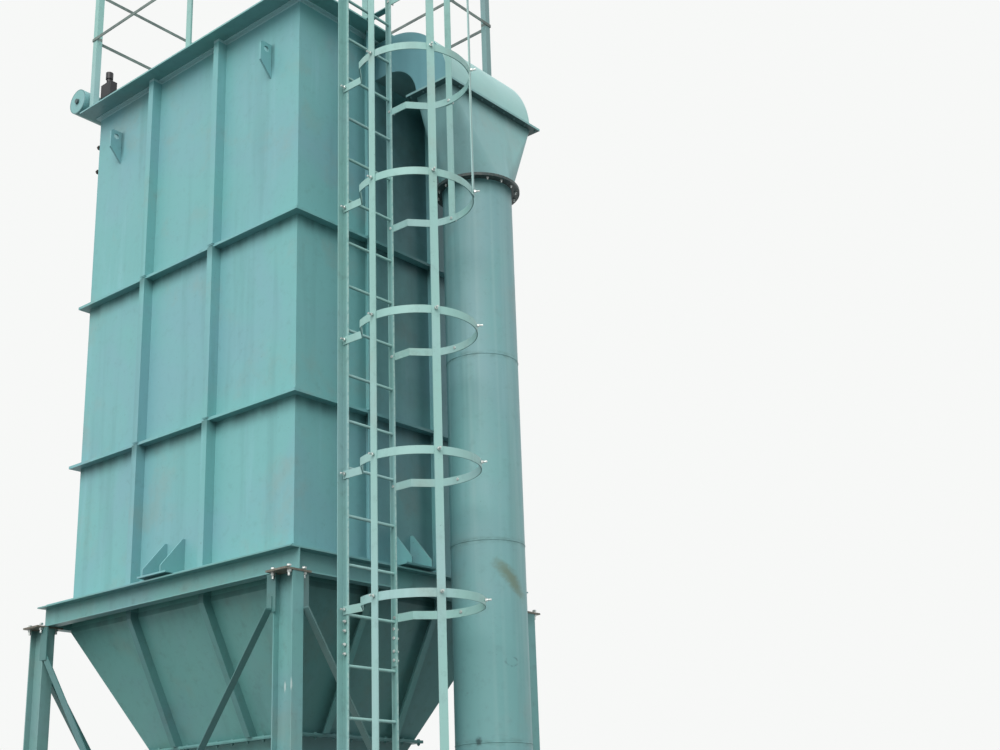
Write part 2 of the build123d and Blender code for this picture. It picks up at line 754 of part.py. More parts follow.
blow_pipe_x = header_x + valve_body_radius + blow_pipe_run
with BuildPart() as blow_pipes:
    for y in valve_places:
        with BuildLine() as route:
            FilletPolyline((header_x, y, valve_mid), (blow_pipe_x, y, valve_mid),
                           (blow_pipe_x, y, roof_top), radius=blow_pipe_bend)
        with BuildSketch(Plane(origin=route.line @ 0, z_dir=route.line % 0)) as bore:
            Circle(valve_stub_radius)
        sweep(bore.sketch, path=route.line)
        with BuildSketch(Plane.XY.offset(valve_base)):
            with Locations((header_x, y)):
                Circle(valve_body_radius)
        extrude(amount=valve_body_height, mode=Mode.SUBTRACT)
blow_pipes.part.label = "blow_pipes"
export_step(blow_pipes.part, "parts/blow_pipes.step")

# Air filter and regulator on an arm near the header's front end: block, bowl below, knob above
regulator_x = header_x + regulator_offset
regulator_y = header_front + regulator_from_end
regulator_low = header_z + regulator_bottom
regulator_high = regulator_low + regulator_height
with BuildPart() as air_regulator:
    with BuildSketch(Plane.YZ.offset(header_x)):
        with Locations((regulator_y, header_z + regulator_arm_rise)):
            Circle(regulator_arm_radius)
    extrude(amount=regulator_offset)
    with BuildSketch(Plane.XZ.offset(-header_back)):
        with Locations((header_x, header_z)):
            Circle(header_radius)
    extrude(amount=header_back - header_front, mode=Mode.SUBTRACT)
    with BuildSketch(Plane.XY.offset(regulator_low)):
        with Locations((regulator_x, regulator_y)):
            Rectangle(regulator_width, regulator_depth)
    extrude(amount=regulator_height)
    for level, radius, height in (
            (regulator_low - regulator_bowl_drop, regulator_bowl_radius, regulator_bowl_drop),
            (regulator_high, regulator_stem_radius, regulator_stem_height),
            (regulator_high + regulator_stem_height, regulator_knob_radius, regulator_knob_height)):
        with BuildSketch(Plane.XY.offset(level)):
            with Locations((regulator_x, regulator_y)):
                Circle(radius)
        extrude(amount=height)
air_regulator.part.label = "air_regulator"
export_step(air_regulator.part, "parts/air_regulator.step")

# Outlet elbow: flat cheeks, curved throat and back, a short skirt with a flange round its mouth
elbow_axis = Axis((elbow_axis_x, 0, elbow_axis_z), (0, 1, 0))
duct_x = elbow_axis_x + (elbow_inner_radius + elbow_outer_radius) / 2
elbow_depth = elbow_outer_radius - elbow_inner_radius
mouth_level = elbow_axis_z - elbow_skirt


def mouth_rectangle(level, inset):
    # Level rectangle of the elbow's lower mouth, inset all round
    with BuildSketch(Plane.XY.offset(level)) as mouth:
        with Locations((duct_x, elbow_mid_y)):
            Rectangle(elbow_depth - 2 * inset, elbow_width - 2 * inset)
    return mouth.sketch


with BuildPart() as outlet_elbow:
    extrude(mouth_rectangle(mouth_level, -elbow_flange_reach), amount=elbow_flange_thick)
    extrude(mouth_rectangle(mouth_level, 0), amount=elbow_skirt)
    extrude(elbow_section(wall_right, 0), amount=elbow_spigot)
    revolve(elbow_section(elbow_axis_x, 0), axis=elbow_axis, revolution_arc=90)
    extrude(mouth_rectangle(mouth_level, duct_wall), amount=elbow_skirt, mode=Mode.SUBTRACT)
    extrude(elbow_section(wall_right, duct_wall), amount=elbow_spigot, mode=Mode.SUBTRACT)
    revolve(elbow_section(elbow_axis_x, duct_wall), axis=elbow_axis, revolution_arc=90,
            mode=Mode.SUBTRACT)
outlet_elbow.part.label = "outlet_elbow"
export_step(outlet_elbow.part, "parts/outlet_elbow.step")

# Square-to-round transition with a flange at each end
transition_low = mouth_level - transition_height


def transition_body(inset):
    # Sections from the elbow's rectangle to the duct's circle
    with BuildSketch(Plane.XY.offset(mouth_level)) as mouth:
        with Locations((duct_x, elbow_mid_y)):
            RectangleRounded(elbow_depth - 2 * inset, elbow_width - 2 * inset, transition_corner)
    with BuildSketch(Plane.XY.offset(transition_low)) as throat:
        with Locations((duct_x, elbow_mid_y)):
            RectangleRounded(2 * (duct_radius - inset), 2 * (duct_radius - inset),
                             duct_radius - inset - transition_corner / 10)
    return [mouth.sketch, throat.sketch]


def duct_disc(level, radius):
    # Level disc on the duct's axis
    with BuildSketch(Plane.XY.offset(level)) as disc:
        with Locations((duct_x, elbow_mid_y)):
            Circle(radius)
    return disc.sketch


with BuildPart() as outlet_transition:
    loft(transition_body(0), ruled=True)
    extrude(mouth_rectangle(mouth_level, -elbow_flange_reach), amount=-elbow_flange_thick)
    extrude(duct_disc(transition_low, duct_flange_radius), amount=duct_flange_thick)
    loft(transition_body(duct_wall), ruled=True, mode=Mode.SUBTRACT)
outlet_transition.part.label = "outlet_transition"
export_step(outlet_transition.part, "parts/outlet_transition.step")

# Round duct down to a flanged end
with BuildPart() as outlet_duct:
    extrude(duct_disc(duct_end_height, duct_radius), amount=transition_low - duct_end_height)
    extrude(duct_disc(transition_low, duct_flange_radius), amount=-duct_flange_thick)
    with BuildSketch(Plane.XY.offset(duct_end_height)):
        with Locations((duct_x, elbow_mid_y)):
            Circle(duct_flange_radius)
            with PolarLocations(duct_bolt_circle, duct_bolt_count):
                Circle(duct_bolt_radius, mode=Mode.SUBTRACT)
    extrude(amount=duct_flange_thick)
    extrude(duct_disc(duct_end_height, duct_radius - duct_wall),
            amount=transition_low - duct_end_height, mode=Mode.SUBTRACT)
outlet_duct.part.label = "outlet_duct"
export_step(outlet_duct.part, "parts/outlet_duct.step")

# Duct legs: upright angles with a foot plate below and a fin welded to the duct above
fin_length = duct_leg_circle - duct_radius
leg_half = duct_leg / 2
with BuildPart() as duct_legs:
    with BuildSketch(Plane.XY):
        with Locations((duct_x, elbow_mid_y)):
            with PolarLocations(duct_leg_circle, duct_leg_count, start_angle=180 / duct_leg_count):
                Rectangle(duct_foot_plate, duct_foot_plate)
    extrude(amount=duct_foot_thick)
    with BuildSketch(Plane.XY.offset(duct_foot_thick)):
        with Locations((duct_x, elbow_mid_y)):
            with PolarLocations(duct_leg_circle, duct_leg_count, start_angle=180 / duct_leg_count):
                Rectangle(duct_leg_thick, duct_leg)
                with Locations((leg_half / 2, 0)):
                    Rectangle(leg_half, duct_leg_thick)
    extrude(amount=duct_leg_height - duct_foot_thick)
    with BuildSketch(Plane.XY.offset(duct_leg_height - duct_fin_height)):
        with Locations((duct_x, elbow_mid_y)):
            with PolarLocations(duct_leg_circle - fin_length / 2, duct_leg_count,
                                start_angle=180 / duct_leg_count):
                Rectangle(fin_length, duct_fin_thick)
            Circle(duct_radius, mode=Mode.SUBTRACT)
    extrude(amount=duct_fin_height)
duct_legs.part.label = "duct_legs"
export_step(duct_legs.part, "parts/duct_legs.step")

# Ladder stiles: two angles from foot plates on the ground up to the guard rail's height
stile_half = stile_leg / 2
stile_inner_x = ladder_plane - stile_half
stile_top = roof_top + guard_height
with BuildPart() as ladder_stiles:
    for face, out in ((ladder_front, -1), (ladder_back, 1)):
        with BuildSketch(Plane.XY):
            with Locations((ladder_plane, face + out * stile_half)):
                Rectangle(stile_foot, stile_foot)
        extrude(amount=stile_foot_thick)
        profile = outline(Plane.XY.offset(stile_foot_thick), [
            (stile_inner_x, face), (stile_inner_x + stile_leg, face),
            (stile_inner_x + stile_leg, face + out * stile_thick),
            (stile_inner_x + stile_thick, face + out * stile_thick),
            (stile_inner_x + stile_thick, face + out * stile_leg),
            (stile_inner_x, face + out * stile_leg)])
        extrude(profile, amount=stile_top - stile_foot_thick, dir=(0, 0, 1))
ladder_stiles.part.label = "ladder_stiles"
export_step(ladder_stiles.part, "parts/ladder_stiles.step")

rung_count = int((roof_top - first_rung) // rung_pitch) + 1
with BuildPart() as ladder_rungs:
    with BuildSketch(Plane.XZ.offset(-ladder_back)):
        for place in range(rung_count):
            with Locations((ladder_plane, first_rung + place * rung_pitch)):
                Circle(rung_radius)
    extrude(amount=rung_length)
ladder_rungs.part.label = "ladder_rungs"
export_step(ladder_rungs.part, "parts/ladder_rungs.step")

# Ladder brackets: angles across the roof to both stiles, and lower down a stay from the front
# right column to a cross angle behind them
roof_bracket_root = roof_right - roof_bracket_lap
column_face = column_depth / 2
stay_half = ladder_bracket_leg / 2
cross_x = stile_inner_x - ladder_bracket_leg
cross_back = ladder_back + stile_leg


def bracket_angle(root, edge, face, level):
    # Upright section of an angle along X: one leg lies flat, the other stands at the edge
    toe = edge + ladder_bracket_thick if face > edge else edge - ladder_bracket_thick
    return outline(Plane.YZ.offset(root), [
        (edge, level), (face, level), (face, level + ladder_bracket_thick),
        (toe, level + ladder_bracket_thick), (toe, level + ladder_bracket_leg),
        (edge, level + ladder_bracket_leg)])


with BuildPart() as ladder_brackets:
    for face, edge in ((ladder_front, ladder_front - stile_leg), (ladder_back, cross_back)):
        extrude(bracket_angle(roof_bracket_root, edge, face, roof_top),
                amount=stile_inner_x - roof_bracket_root, dir=(1, 0, 0))
    extrude(bracket_angle(column_face, -stay_half, stay_half, ladder_stay_level),
            amount=cross_x - column_face, dir=(1, 0, 0))
    cross = outline(Plane.XZ.offset(-cross_back), [
        (cross_x, ladder_stay_level), (stile_inner_x, ladder_stay_level),
        (stile_inner_x, ladder_stay_level + ladder_bracket_leg),
        (stile_inner_x - ladder_bracket_thick, ladder_stay_level + ladder_bracket_leg),
        (stile_inner_x - ladder_bracket_thick, ladder_stay_level + ladder_bracket_thick),
        (cross_x, ladder_stay_level + ladder_bracket_thick)])
    extrude(cross, amount=cross_back + stay_half)
ladder_brackets.part.label = "ladder_brackets"
export_step(ladder_brackets.part, "parts/ladder_brackets.step")

# Cage hoops: flat bar that runs straight off each stile, flares and rounds the cage
cage_x = ladder_plane + cage_centre_out
cage_outer_radius = cage_inner_radius + cage_bar_thick
hoop_start = stile_inner_x + stile_leg - hoop_lap
hoop_bend = stile_inner_x + stile_leg + hoop_run
hoop_line = rung_length / 2 + stile_thick
flare_x = cage_x + cage_inner_radius * cos(radians(hoop_flare_angle))
flare_y = cage_inner_radius * sin(radians(hoop_flare_angle))


def hoop_band(level):
    # Outline of one hoop from above
    with BuildSketch(Plane.XY.offset(level - cage_bar / 2)) as hoop:
        with BuildLine():
            Polyline((hoop_start, ladder_mid - hoop_line), (hoop_bend, ladder_mid - hoop_line),
                     (flare_x, ladder_mid - flare_y))
            ThreePointArc((flare_x, ladder_mid - flare_y), (cage_x + cage_inner_radius, ladder_mid),
                          (flare_x, ladder_mid + flare_y))
            Polyline((flare_x, ladder_mid + flare_y), (hoop_bend, ladder_mid + hoop_line),
                     (hoop_start, ladder_mid + hoop_line))
            offset(amount=cage_bar_thick, side=Side.RIGHT, kind=Kind.INTERSECTION)
        make_face()
    return hoop.sketch


hoop_levels = [stile_top - drop for drop in hoop_drops]
hoop_sets = {"lower": hoop_levels[:lower_hoop_count], "upper": hoop_levels[lower_hoop_count:]}
for name, levels in hoop_sets.items():
    with BuildPart() as hoops:
        for level in levels:
            extrude(hoop_band(level), amount=cage_bar)
    hoops.part.label = f"cage_hoops_{name}"
    export_step(hoops.part, f"parts/cage_hoops_{name}.step")

# Cage straps: upright flat bars outside the hoops, two down to the lowest hoop and two that
# stop at the lowest of the upper hoops
strap_high = hoop_levels[-1] + cage_bar / 2
with BuildPart() as cage_straps:
    for angles, lowest in ((long_strap_angles, hoop_sets["lower"][0]),
                           (short_strap_angles, hoop_sets["upper"][0])):
        strap_low = lowest - cage_bar / 2
        for angle in angles:
            with BuildSketch(Plane.XY.offset(strap_low)):
                with Locations((cage_x, ladder_mid)):
                    with PolarLocations(cage_outer_radius + cage_bar_thick / 2, 1,
                                        start_angle=angle):
                        Rectangle(cage_bar_thick, cage_bar)
            extrude(amount=strap_high - strap_low)
cage_straps.part.label = "cage_straps"
export_step(cage_straps.part, "parts/cage_straps.step")
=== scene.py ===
import math
import bpy
from mathutils import Matrix, Vector


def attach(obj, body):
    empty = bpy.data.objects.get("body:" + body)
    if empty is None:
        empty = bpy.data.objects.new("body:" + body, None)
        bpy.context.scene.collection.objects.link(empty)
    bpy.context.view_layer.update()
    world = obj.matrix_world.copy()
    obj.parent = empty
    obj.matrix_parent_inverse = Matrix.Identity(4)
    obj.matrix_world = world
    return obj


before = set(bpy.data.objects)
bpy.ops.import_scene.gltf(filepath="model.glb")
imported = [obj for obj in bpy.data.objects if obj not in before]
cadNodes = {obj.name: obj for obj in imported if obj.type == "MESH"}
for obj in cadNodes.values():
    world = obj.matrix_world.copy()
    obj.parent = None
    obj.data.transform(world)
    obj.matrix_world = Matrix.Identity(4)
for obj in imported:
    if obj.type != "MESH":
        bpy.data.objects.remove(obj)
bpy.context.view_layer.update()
scene = bpy.context.scene
print("collector: frame loaded,", len(cadNodes), "nodes")


# Shader sums are written as plain Python on this class
class Wire:
    def __init__(self, finish, socket):
        self.finish = finish
        self.socket = socket

    def maths(self, kind, first, second=0.0):
        return self.finish.node("ShaderNodeMath", {"operation": kind}, {0: first, 1: second})

    def __add__(self, other):
        return self.maths("ADD", self, other)

    def __radd__(self, other):
        return self.maths("ADD", other, self)

    def __sub__(self, other):
        return self.maths("SUBTRACT", self, other)

    def __rsub__(self, other):
        return self.maths("SUBTRACT", other, self)

    def __mul__(self, other):
        return self.maths("MULTIPLY", self, other)

    def __rmul__(self, other):
        return self.maths("MULTIPLY", other, self)

    def __gt__(self, other):
        return self.maths("GREATER_THAN", self, other)

    def __lt__(self, other):
        return self.maths("LESS_THAN", self, other)

    def __abs__(self):
        return self.maths("ABSOLUTE", self)

    def most(self, other):
        return self.maths("MAXIMUM", self, other)

    def least(self, other):
        return self.maths("MINIMUM", self, other)

    def root(self):
        return self.maths("SQRT", self)

    def ramp(self, low, high):
        # 0 at low, 1 at high, smooth between them
        return self.finish.node("ShaderNodeMapRange",
                                {"interpolation_type": "SMOOTHSTEP", "clamp": True},
                                {"Value": self, "From Min": low, "From Max": high})


# One material with its nodes
class Finish:
    def __init__(self, name):
        self.material = bpy.data.materials.new(name)
        self.clear(self.material, "ShaderNodeOutputMaterial")
        self.place = self.node("ShaderNodeTexCoord", out="Object")
        self.x, self.y, self.z = self.split(self.place)
        normal = self.node("ShaderNodeNewGeometry", out="Normal")
        self.facingX, self.facingY, self.facingZ = self.split(normal)

    def clear(self, owner, outputKind):
        # an empty node tree with just its output
        owner.use_nodes = True
        self.tree = owner.node_tree
        self.tree.nodes.clear()
        self.output = self.tree.nodes.new(outputKind)

    def split(self, vector):
        # the three parts of a vector
        parts = self.tree.nodes.new("ShaderNodeSeparateXYZ")
        self.tree.links.new(vector.socket, parts.inputs[0])
        return [Wire(self, part) for part in parts.outputs]

    def node(self, kind, settings=None, sockets=None, out=0):
        made = self.tree.nodes.new(kind)
        for name, value in (settings or {}).items():
            setattr(made, name, value)
        for name, value in (sockets or {}).items():
            if isinstance(value, Wire):
                self.tree.links.new(value.socket, made.inputs[name])
            else:
                made.inputs[name].default_value = value
        return Wire(self, made.outputs[out])

    def noise(self, scale, detail=3.0, rough=0.55, stretch=(1, 1, 1), shift=(0, 0, 0), twist=0.0):
        spot = self.node("ShaderNodeMapping", {},
                         {"Vector": self.place, "Scale": stretch, "Location": shift})
        return self.node("ShaderNodeTexNoise", {"noise_dimensions": "3D"},
                         {"Vector": spot, "Scale": scale, "Detail": detail, "Roughness": rough,
                          "Distortion": twist})

    def layer(self, recipe):
        # where a layer of weathering shows, 0 to 1
        return self.noise(**recipe["noise"]).ramp(*recipe["shows"])

    def mix(self, amount, first, second):
        pair = [shade if isinstance(shade, Wire) else (*shade, 1.0) for shade in (first, second)]
        return self.node("ShaderNodeMix", {"data_type": "RGBA"},
                         {0: amount, 6: pair[0], 7: pair[1]}, out=2)

    def bump(self, height, strength, distance, under=None):
        sockets = {"Height": height, "Strength": strength, "Distance": distance}
        if under:
            sockets["Normal"] = under
        return self.node("ShaderNodeBump", {}, sockets)

    def close(self, surface):
        self.tree.links.new(surface.socket, self.output.inputs["Surface"])

    def shade(self, sockets):
        self.close(self.node("ShaderNodeBsdfPrincipled", {}, sockets))
        return self.material


def rgb(*screen):
    # a colour as it is read off a screen, 0 to 255
    return tuple(((c / 255 + 0.055) / 1.055) ** 2.4 if c > 10 else c / 3294.6 for c in screen)


def radius(first, second):
    # distance from an axis
    return (first * first + second * second).root()


# Paint of the collector: one recipe, tuned for each group of pieces
paint = {
    "casing": {"teal": rgb(118, 177, 178), "blue": rgb(124, 170, 180), "grey": rgb(138, 158, 154),
               "ledges": (3.432, 4.453, 5.711), "shadow": 0.72, "streaks": 0.30, "grimeAndShade": 0.16,
               "fade": 0.16},
    # the hopper's teal is the casing's paint made darker: painted shade on its down-facing slopes
    "hopper": {"teal": rgb(106, 162, 158), "blue": rgb(108, 152, 156), "grey": rgb(120, 142, 132),
               "ledges": (2.403, 3.282), "shadow": 0.5, "streaks": 0.35, "grimeAndShade": 0.30, "fade": 0.0},
    # the ribs' teal is the hopper's made darker: painted shade for their shaded webs
    "rib": {"teal": rgb(88, 138, 136), "blue": rgb(90, 130, 136), "grey": rgb(102, 124, 116),
            "ledges": (2.403, 3.282), "shadow": 0.5, "streaks": 0.35, "grimeAndShade": 0.30, "fade": 0.0},
    "frame": {"teal": rgb(108, 160, 158), "blue": rgb(114, 154, 160), "grey": rgb(126, 146, 140),
              "ledges": (3.270,), "shadow": 0.5, "streaks": 0.35, "grimeAndShade": 0.30, "fade": 0.0},
    "duct": {"teal": rgb(118, 168, 168), "blue": rgb(126, 162, 168), "grey": rgb(136, 154, 152),
             "ledges": (6.086, 6.727), "shadow": 0.6, "streaks": 0.40, "grimeAndShade": 0.18, "fade": 0.0},
    "ladder": {"teal": rgb(148, 190, 184), "blue": rgb(156, 188, 190), "grey": rgb(150, 166, 158),
               "ledges": (), "shadow": 0.0, "streaks": 0.30, "grimeAndShade": 0.22, "fade": 0.0},
    "stile": {"teal": rgb(126, 172, 168), "blue": rgb(132, 168, 172), "grey": rgb(138, 158, 150),
              "ledges": (), "shadow": 0.0, "streaks": 0.45, "grimeAndShade": 0.30, "fade": 0.0},
    "roof": {"teal": rgb(124, 180, 176), "blue": rgb(130, 172, 178), "grey": rgb(140, 156, 148),
             "ledges": (), "shadow": 0.0, "streaks": 0.1, "grimeAndShade": 0.35, "fade": 0.0},
}

# Weathering that all the paint shares
weather = {
    "clouds": {"noise": {"scale": 0.9, "detail": 4.0, "twist": 0.6}, "shows": (0.40, 0.66),
               "cover": 0.75},
    "patches": {"noise": {"scale": 2.3, "detail": 5.0, "rough": 0.62, "shift": (3.1, 1.7, 0.4)},
                "shows": (0.53, 0.74), "cover": 0.45},
    "runs": {"noise": {"scale": 7.0, "detail": 4.0, "stretch": (1.0, 1.0, 0.07),
                       "shift": (0.3, 0.9, 0.0)},
             "shows": (0.52, 0.74), "darker": 0.62},
    "pale": {"noise": {"scale": 9.0, "detail": 3.0, "stretch": (1.0, 1.0, 0.09),
                       "shift": (5.0, 2.0, 0.0)},
             "shows": (0.58, 0.78), "cover": 0.28, "gain": 1.25, "lift": 0.03},
    "dirt": {"noise": {"scale": 14.0, "detail": 6.0, "rough": 0.7}, "shows": (0.50, 0.78),
             "tone": rgb(74, 92, 84)},
    "specks": {"noise": {"scale": 46.0, "detail": 3.0, "rough": 0.6, "shift": (4.0, 4.0, 1.0)},
               "shows": (0.66, 0.78), "cover": 0.35, "tone": rgb(88, 104, 98)},
    # painted shade on faces that look down
    "under": {"facing": (-0.9, -0.5), "cover": 0.45, "tone": rgb(50, 84, 90)},
    # painted shade: walls facing +X darker lower down
    "low": {"heights": (3.4, 7.4), "facing": (0.5, 0.9), "tone": rgb(60, 100, 104)},
    # painted shadow under each ledge, made uneven with noise
    "ledge": {"noise": {"scale": 11.0, "detail": 2.0, "stretch": (1, 1, 0.2)}, "shows": (0.25, 0.7),
              "depth": 0.13, "least": 0.5, "tone": rgb(48, 84, 84)},
    "level": (0.3, 0.8),
}


def paintShade(finish, look):
    # clouds of blue and grey in the teal, runs down the wall, dirt and specks, painted shade on faces
    # that look down and low on walls facing +X, and an uneven painted shadow under each ledge
    teal, blue, grey = look["teal"], look["blue"], look["grey"]
    clouds, patches, runs, pale = (weather[name] for name in ("clouds", "patches", "runs", "pale"))
    dirt, specks, under, low = (weather[name] for name in ("dirt", "specks", "under", "low"))
    ledgeShadow = weather["ledge"]
    wall = 1.0 - abs(finish.facingZ).ramp(*weather["level"])
    shade = finish.mix(finish.layer(clouds) * clouds["cover"], teal, blue)
    shade = finish.mix(finish.layer(patches) * patches["cover"], shade, grey)
    dark = tuple(c * runs["darker"] for c in teal)
    shade = finish.mix(finish.layer(runs) * wall * look["streaks"], shade, dark)
    light = tuple(min(1.0, c * pale["gain"] + pale["lift"]) for c in blue)
    shade = finish.mix(finish.layer(pale) * wall * pale["cover"], shade, light)
    shade = finish.mix(finish.layer(dirt) * look["grimeAndShade"], shade, dirt["tone"])
    shade = finish.mix(finish.layer(specks) * specks["cover"], shade, specks["tone"])
    # painted shade on faces that look down
    down = 1.0 - finish.facingZ.ramp(*under["facing"])
    shade = finish.mix(down * under["cover"], shade, under["tone"])
    # painted shade: walls facing +X darker lower down
    if look["fade"]:
        depth = 1.0 - finish.z.ramp(*low["heights"])
        depth = depth * finish.facingX.ramp(*low["facing"])
        shade = finish.mix(depth * look["fade"], shade, low["tone"])
    # painted shadow under each ledge
    for ledge in look["ledges"]:
        drop = (ledge - finish.z).ramp(0.0, ledgeShadow["depth"])
        near = (1.0 - drop) * (finish.z < ledge) * wall
        uneven = finish.layer(ledgeShadow) * (1.0 - ledgeShadow["least"]) + ledgeShadow["least"]
        shade = finish.mix(near * uneven * look["shadow"], shade, ledgeShadow["tone"])
    return shade


# Skin of the paint: orange peel over slow waves, and gloss that wanders
skin = {"rough": 0.46, "wander": 0.22, "specular": 0.42, "peel": (0.05, 0.002), "waves": (0.22, 0.02)}


def paintSurface(finish, shade, rough=skin["rough"]):
    waves = finish.bump(finish.noise(2.6, detail=1.0, shift=(1.0, 7.0, 3.0)), *skin["waves"])
    peel = finish.bump(finish.noise(170.0, detail=2.0), *skin["peel"], under=waves)
    gloss = finish.noise(5.0, detail=4.0, shift=(2.0, 2.0, 2.0)) * skin["wander"]
    return finish.shade({"Base Color": shade, "Roughness": gloss + (rough - skin["wander"] / 2),
                         "Normal": peel, "Specular IOR Level": skin["specular"]})


def plainPaint(group):
    finish = Finish(group + "Paint")
    return paintSurface(finish, paintShade(finish, paint[group]))


def spotReach(finish, spot, squash):
    # distance to a spot, flattened along Z by a factor
    spotX, spotY, spotZ = spot
    across = (finish.x - spotX) * (finish.x - spotX) + (finish.y - spotY) * (finish.y - spotY)
    climb = (finish.z - spotZ) * squash
    return (across + climb * climb).root()


# Column paint: rust on the cap plate and at the foot, two small chips, greyer on the left
column = {"capLow": 3.2685, "capHigh": 3.2835, "capCover": 0.9, "rust": rgb(96, 78, 66),
          "bareSteel": rgb(120, 112, 100), "foot": (0.02, 0.35), "splashLean": 0.35,
          "splashShows": (0.62, 0.82), "splashCover": 0.8,
          "chips": ((-0.016, -0.003, 2.600), (0.080, -0.043, 2.606)), "chipSquash": 0.25,
          "chipRagged": 0.010, "chipReach": (0.008, 0.016), "chipCover": 0.7,
          "chipTone": rgb(196, 210, 208), "leftX": (-2.0, -1.0), "leftCover": 0.30,
          "leftGrey": rgb(128, 144, 140)}


def columnPaint():
    finish = Finish("columnPaint")
    shade = paintShade(finish, paint["frame"])
    left = 1.0 - finish.x.ramp(*column["leftX"])
    shade = finish.mix(left * column["leftCover"], shade, column["leftGrey"])
    cap = (finish.z > column["capLow"]) * (finish.z < column["capHigh"])
    scale = finish.noise(38.0, detail=6.0, rough=0.7)
    rust = finish.mix(scale.ramp(0.35, 0.7), column["rust"], column["bareSteel"])
    shade = finish.mix(cap * column["capCover"], shade, rust)
    foot = 1.0 - finish.z.ramp(*column["foot"])
    splash = (scale + foot * column["splashLean"]).ramp(*column["splashShows"]) * foot
    shade = finish.mix(splash * column["splashCover"], shade, column["rust"])
    for chip in column["chips"]:
        reach = spotReach(finish, chip, column["chipSquash"]) + scale * column["chipRagged"]
        bare = 1.0 - reach.ramp(*column["chipReach"])
        shade = finish.mix(bare * column["chipCover"], shade, column["chipTone"])
    return paintSurface(finish, shade)


# Duct paint: dark bolted flange pair, brown smear, painted shade on the side towards the casing, a
# painted shade line round a dent's rim, seams
duct = {"axisX": 0.4315, "axisY": 1.323, "tube": 0.242, "tubeSkin": 0.004, "flangeLow": 6.085,
        "flangeHigh": 6.111, "ringSkin": 0.002, "ringCover": 0.93,
        "ringTones": (rgb(38, 48, 50), rgb(84, 84, 78)), "inward": (-0.75, 0.30),
        "inwardShadeCover": 0.55, "inwardShadeTone": rgb(66, 112, 118), "bandCover": 0.30,
        "bandTone": rgb(152, 184, 184), "seams": (4.81, 3.55, 2.29, 1.04),
        "seamReach": (0.004, 0.035), "seamCover": 0.5, "seamTone": rgb(84, 116, 110),
        "low": (2.6, 3.8), "lowCover": 0.16, "lowTone": rgb(60, 100, 104)}
smear = {"spot": (0.664, 1.275, 3.30), "lean": 0.9, "squash": 3.2, "ragged": 0.16, "grow": 0.08,
         "reach": (0.03, 0.16), "cover": 0.8, "tone": rgb(104, 118, 98)}
dent = {"spot": (0.662, 1.248, 2.78), "squash": 1.6, "radius": 0.045, "line": (0.002, 0.012),
        "cover": 0.45, "tone": rgb(62, 88, 88)}
scab = {"spot": (0.506, 1.093, 2.30), "squash": 0.8, "ragged": 0.03, "reach": (0.020, 0.045),
        "cover": 0.85, "tone": rgb(38, 60, 62)}


def ductReach(finish):
    return radius(finish.x - duct["axisX"], finish.y - duct["axisY"])


def ringShade(finish, shade, rough):
    # the flange pair is nearly black
    ring = (finish.z > duct["flangeLow"]) * (finish.z < duct["flangeHigh"])
    ring = ring * (ductReach(finish) > duct["tube"] + duct["ringSkin"])
    dark = finish.mix(rough.ramp(0.4, 0.75), *duct["ringTones"])
    return finish.mix(ring * duct["ringCover"], shade, dark)


def ductPaint():
    finish = Finish("ductPaint")
    shade = paintShade(finish, paint["duct"])
    tube = (ductReach(finish) < duct["tube"] + duct["tubeSkin"]) * (finish.z < duct["flangeLow"])
    # painted shade on the side towards the casing
    inward = 1.0 - finish.facingX.ramp(*duct["inward"])
    shade = finish.mix(inward * tube * duct["inwardShadeCover"], shade, duct["inwardShadeTone"])
    bands = finish.noise(11.0, detail=2.0, stretch=(1.0, 1.0, 0.02), shift=(0.0, 3.0, 0.0))
    bands = bands.ramp(0.50, 0.66)
    shade = finish.mix(bands * tube * duct["bandCover"], shade, duct["bandTone"])
    rough = finish.noise(60.0, detail=5.0, rough=0.7)
    shade = ringShade(finish, shade, rough)
    for seam in duct["seams"]:
        heat = 1.0 - abs(finish.z - seam).ramp(*duct["seamReach"])
        smoke = finish.noise(16.0, detail=4.0, stretch=(1, 1, 2.5)).ramp(0.35, 0.75)
        shade = finish.mix(heat * smoke * duct["seamCover"], shade, duct["seamTone"])
    low = 1.0 - finish.z.ramp(*duct["low"])
    shade = finish.mix(low * duct["lowCover"], shade, duct["lowTone"])
    # the smear runs down to the right, so its height is tilted along Y
    smearX, smearY, smearZ = smear["spot"]
    out = finish.x - smearX
    drift = finish.y - smearY
    tilted = finish.z - smearZ + drift * smear["lean"]
    sideways = (tilted * tilted * smear["squash"] + drift * drift + out * out).root()
    ragged = finish.noise(13.0, detail=5.0, rough=0.65, stretch=(1, 1, 1.8), twist=0.8)
    reach = sideways + ragged * smear["ragged"] - smear["grow"]
    shade = finish.mix((1.0 - reach.ramp(*smear["reach"])) * smear["cover"], shade, smear["tone"])
    # painted shade: a dark line round the rim of a dent, which is not modelled
    rim = abs(spotReach(finish, dent["spot"], dent["squash"]) - dent["radius"])
    rim = (1.0 - rim.ramp(*dent["line"])) * finish.noise(24.0, detail=3.0).ramp(0.42, 0.6)
    shade = finish.mix(rim * dent["cover"], shade, dent["tone"])
    reach = spotReach(finish, scab["spot"], scab["squash"]) + rough * scab["ragged"]
    shade = finish.mix((1.0 - reach.ramp(*scab["reach"])) * scab["cover"], shade, scab["tone"])
    return paintSurface(finish, shade)


# Elbow and transition paint: painted highlight on the pale curved back, painted shade in the bluish
# cheeks and under the flanges, the whole made paler as painted light
elbow = {"axisX": 0.005, "axisZ": 6.753, "outer": 0.573, "backSkin": 0.002, "cheekSkin": 0.001,
         "mouth": 6.735, "mouthSkin": 0.010, "sheenLeast": 0.6, "backHighlightCover": 0.62,
         "backHighlightTone": rgb(164, 206, 200), "cheekFacing": (0.85, 0.98), "cheekShadeCover": 0.62,
         "cheekShadeTone": rgb(72, 138, 156), "paintedLight": 0.10, "paintedLightTone": rgb(206, 226, 224),
         "underFacing": -0.5, "underReach": 0.030, "underShadeCover": 0.75, "underShadeTone": rgb(36, 62, 64)}


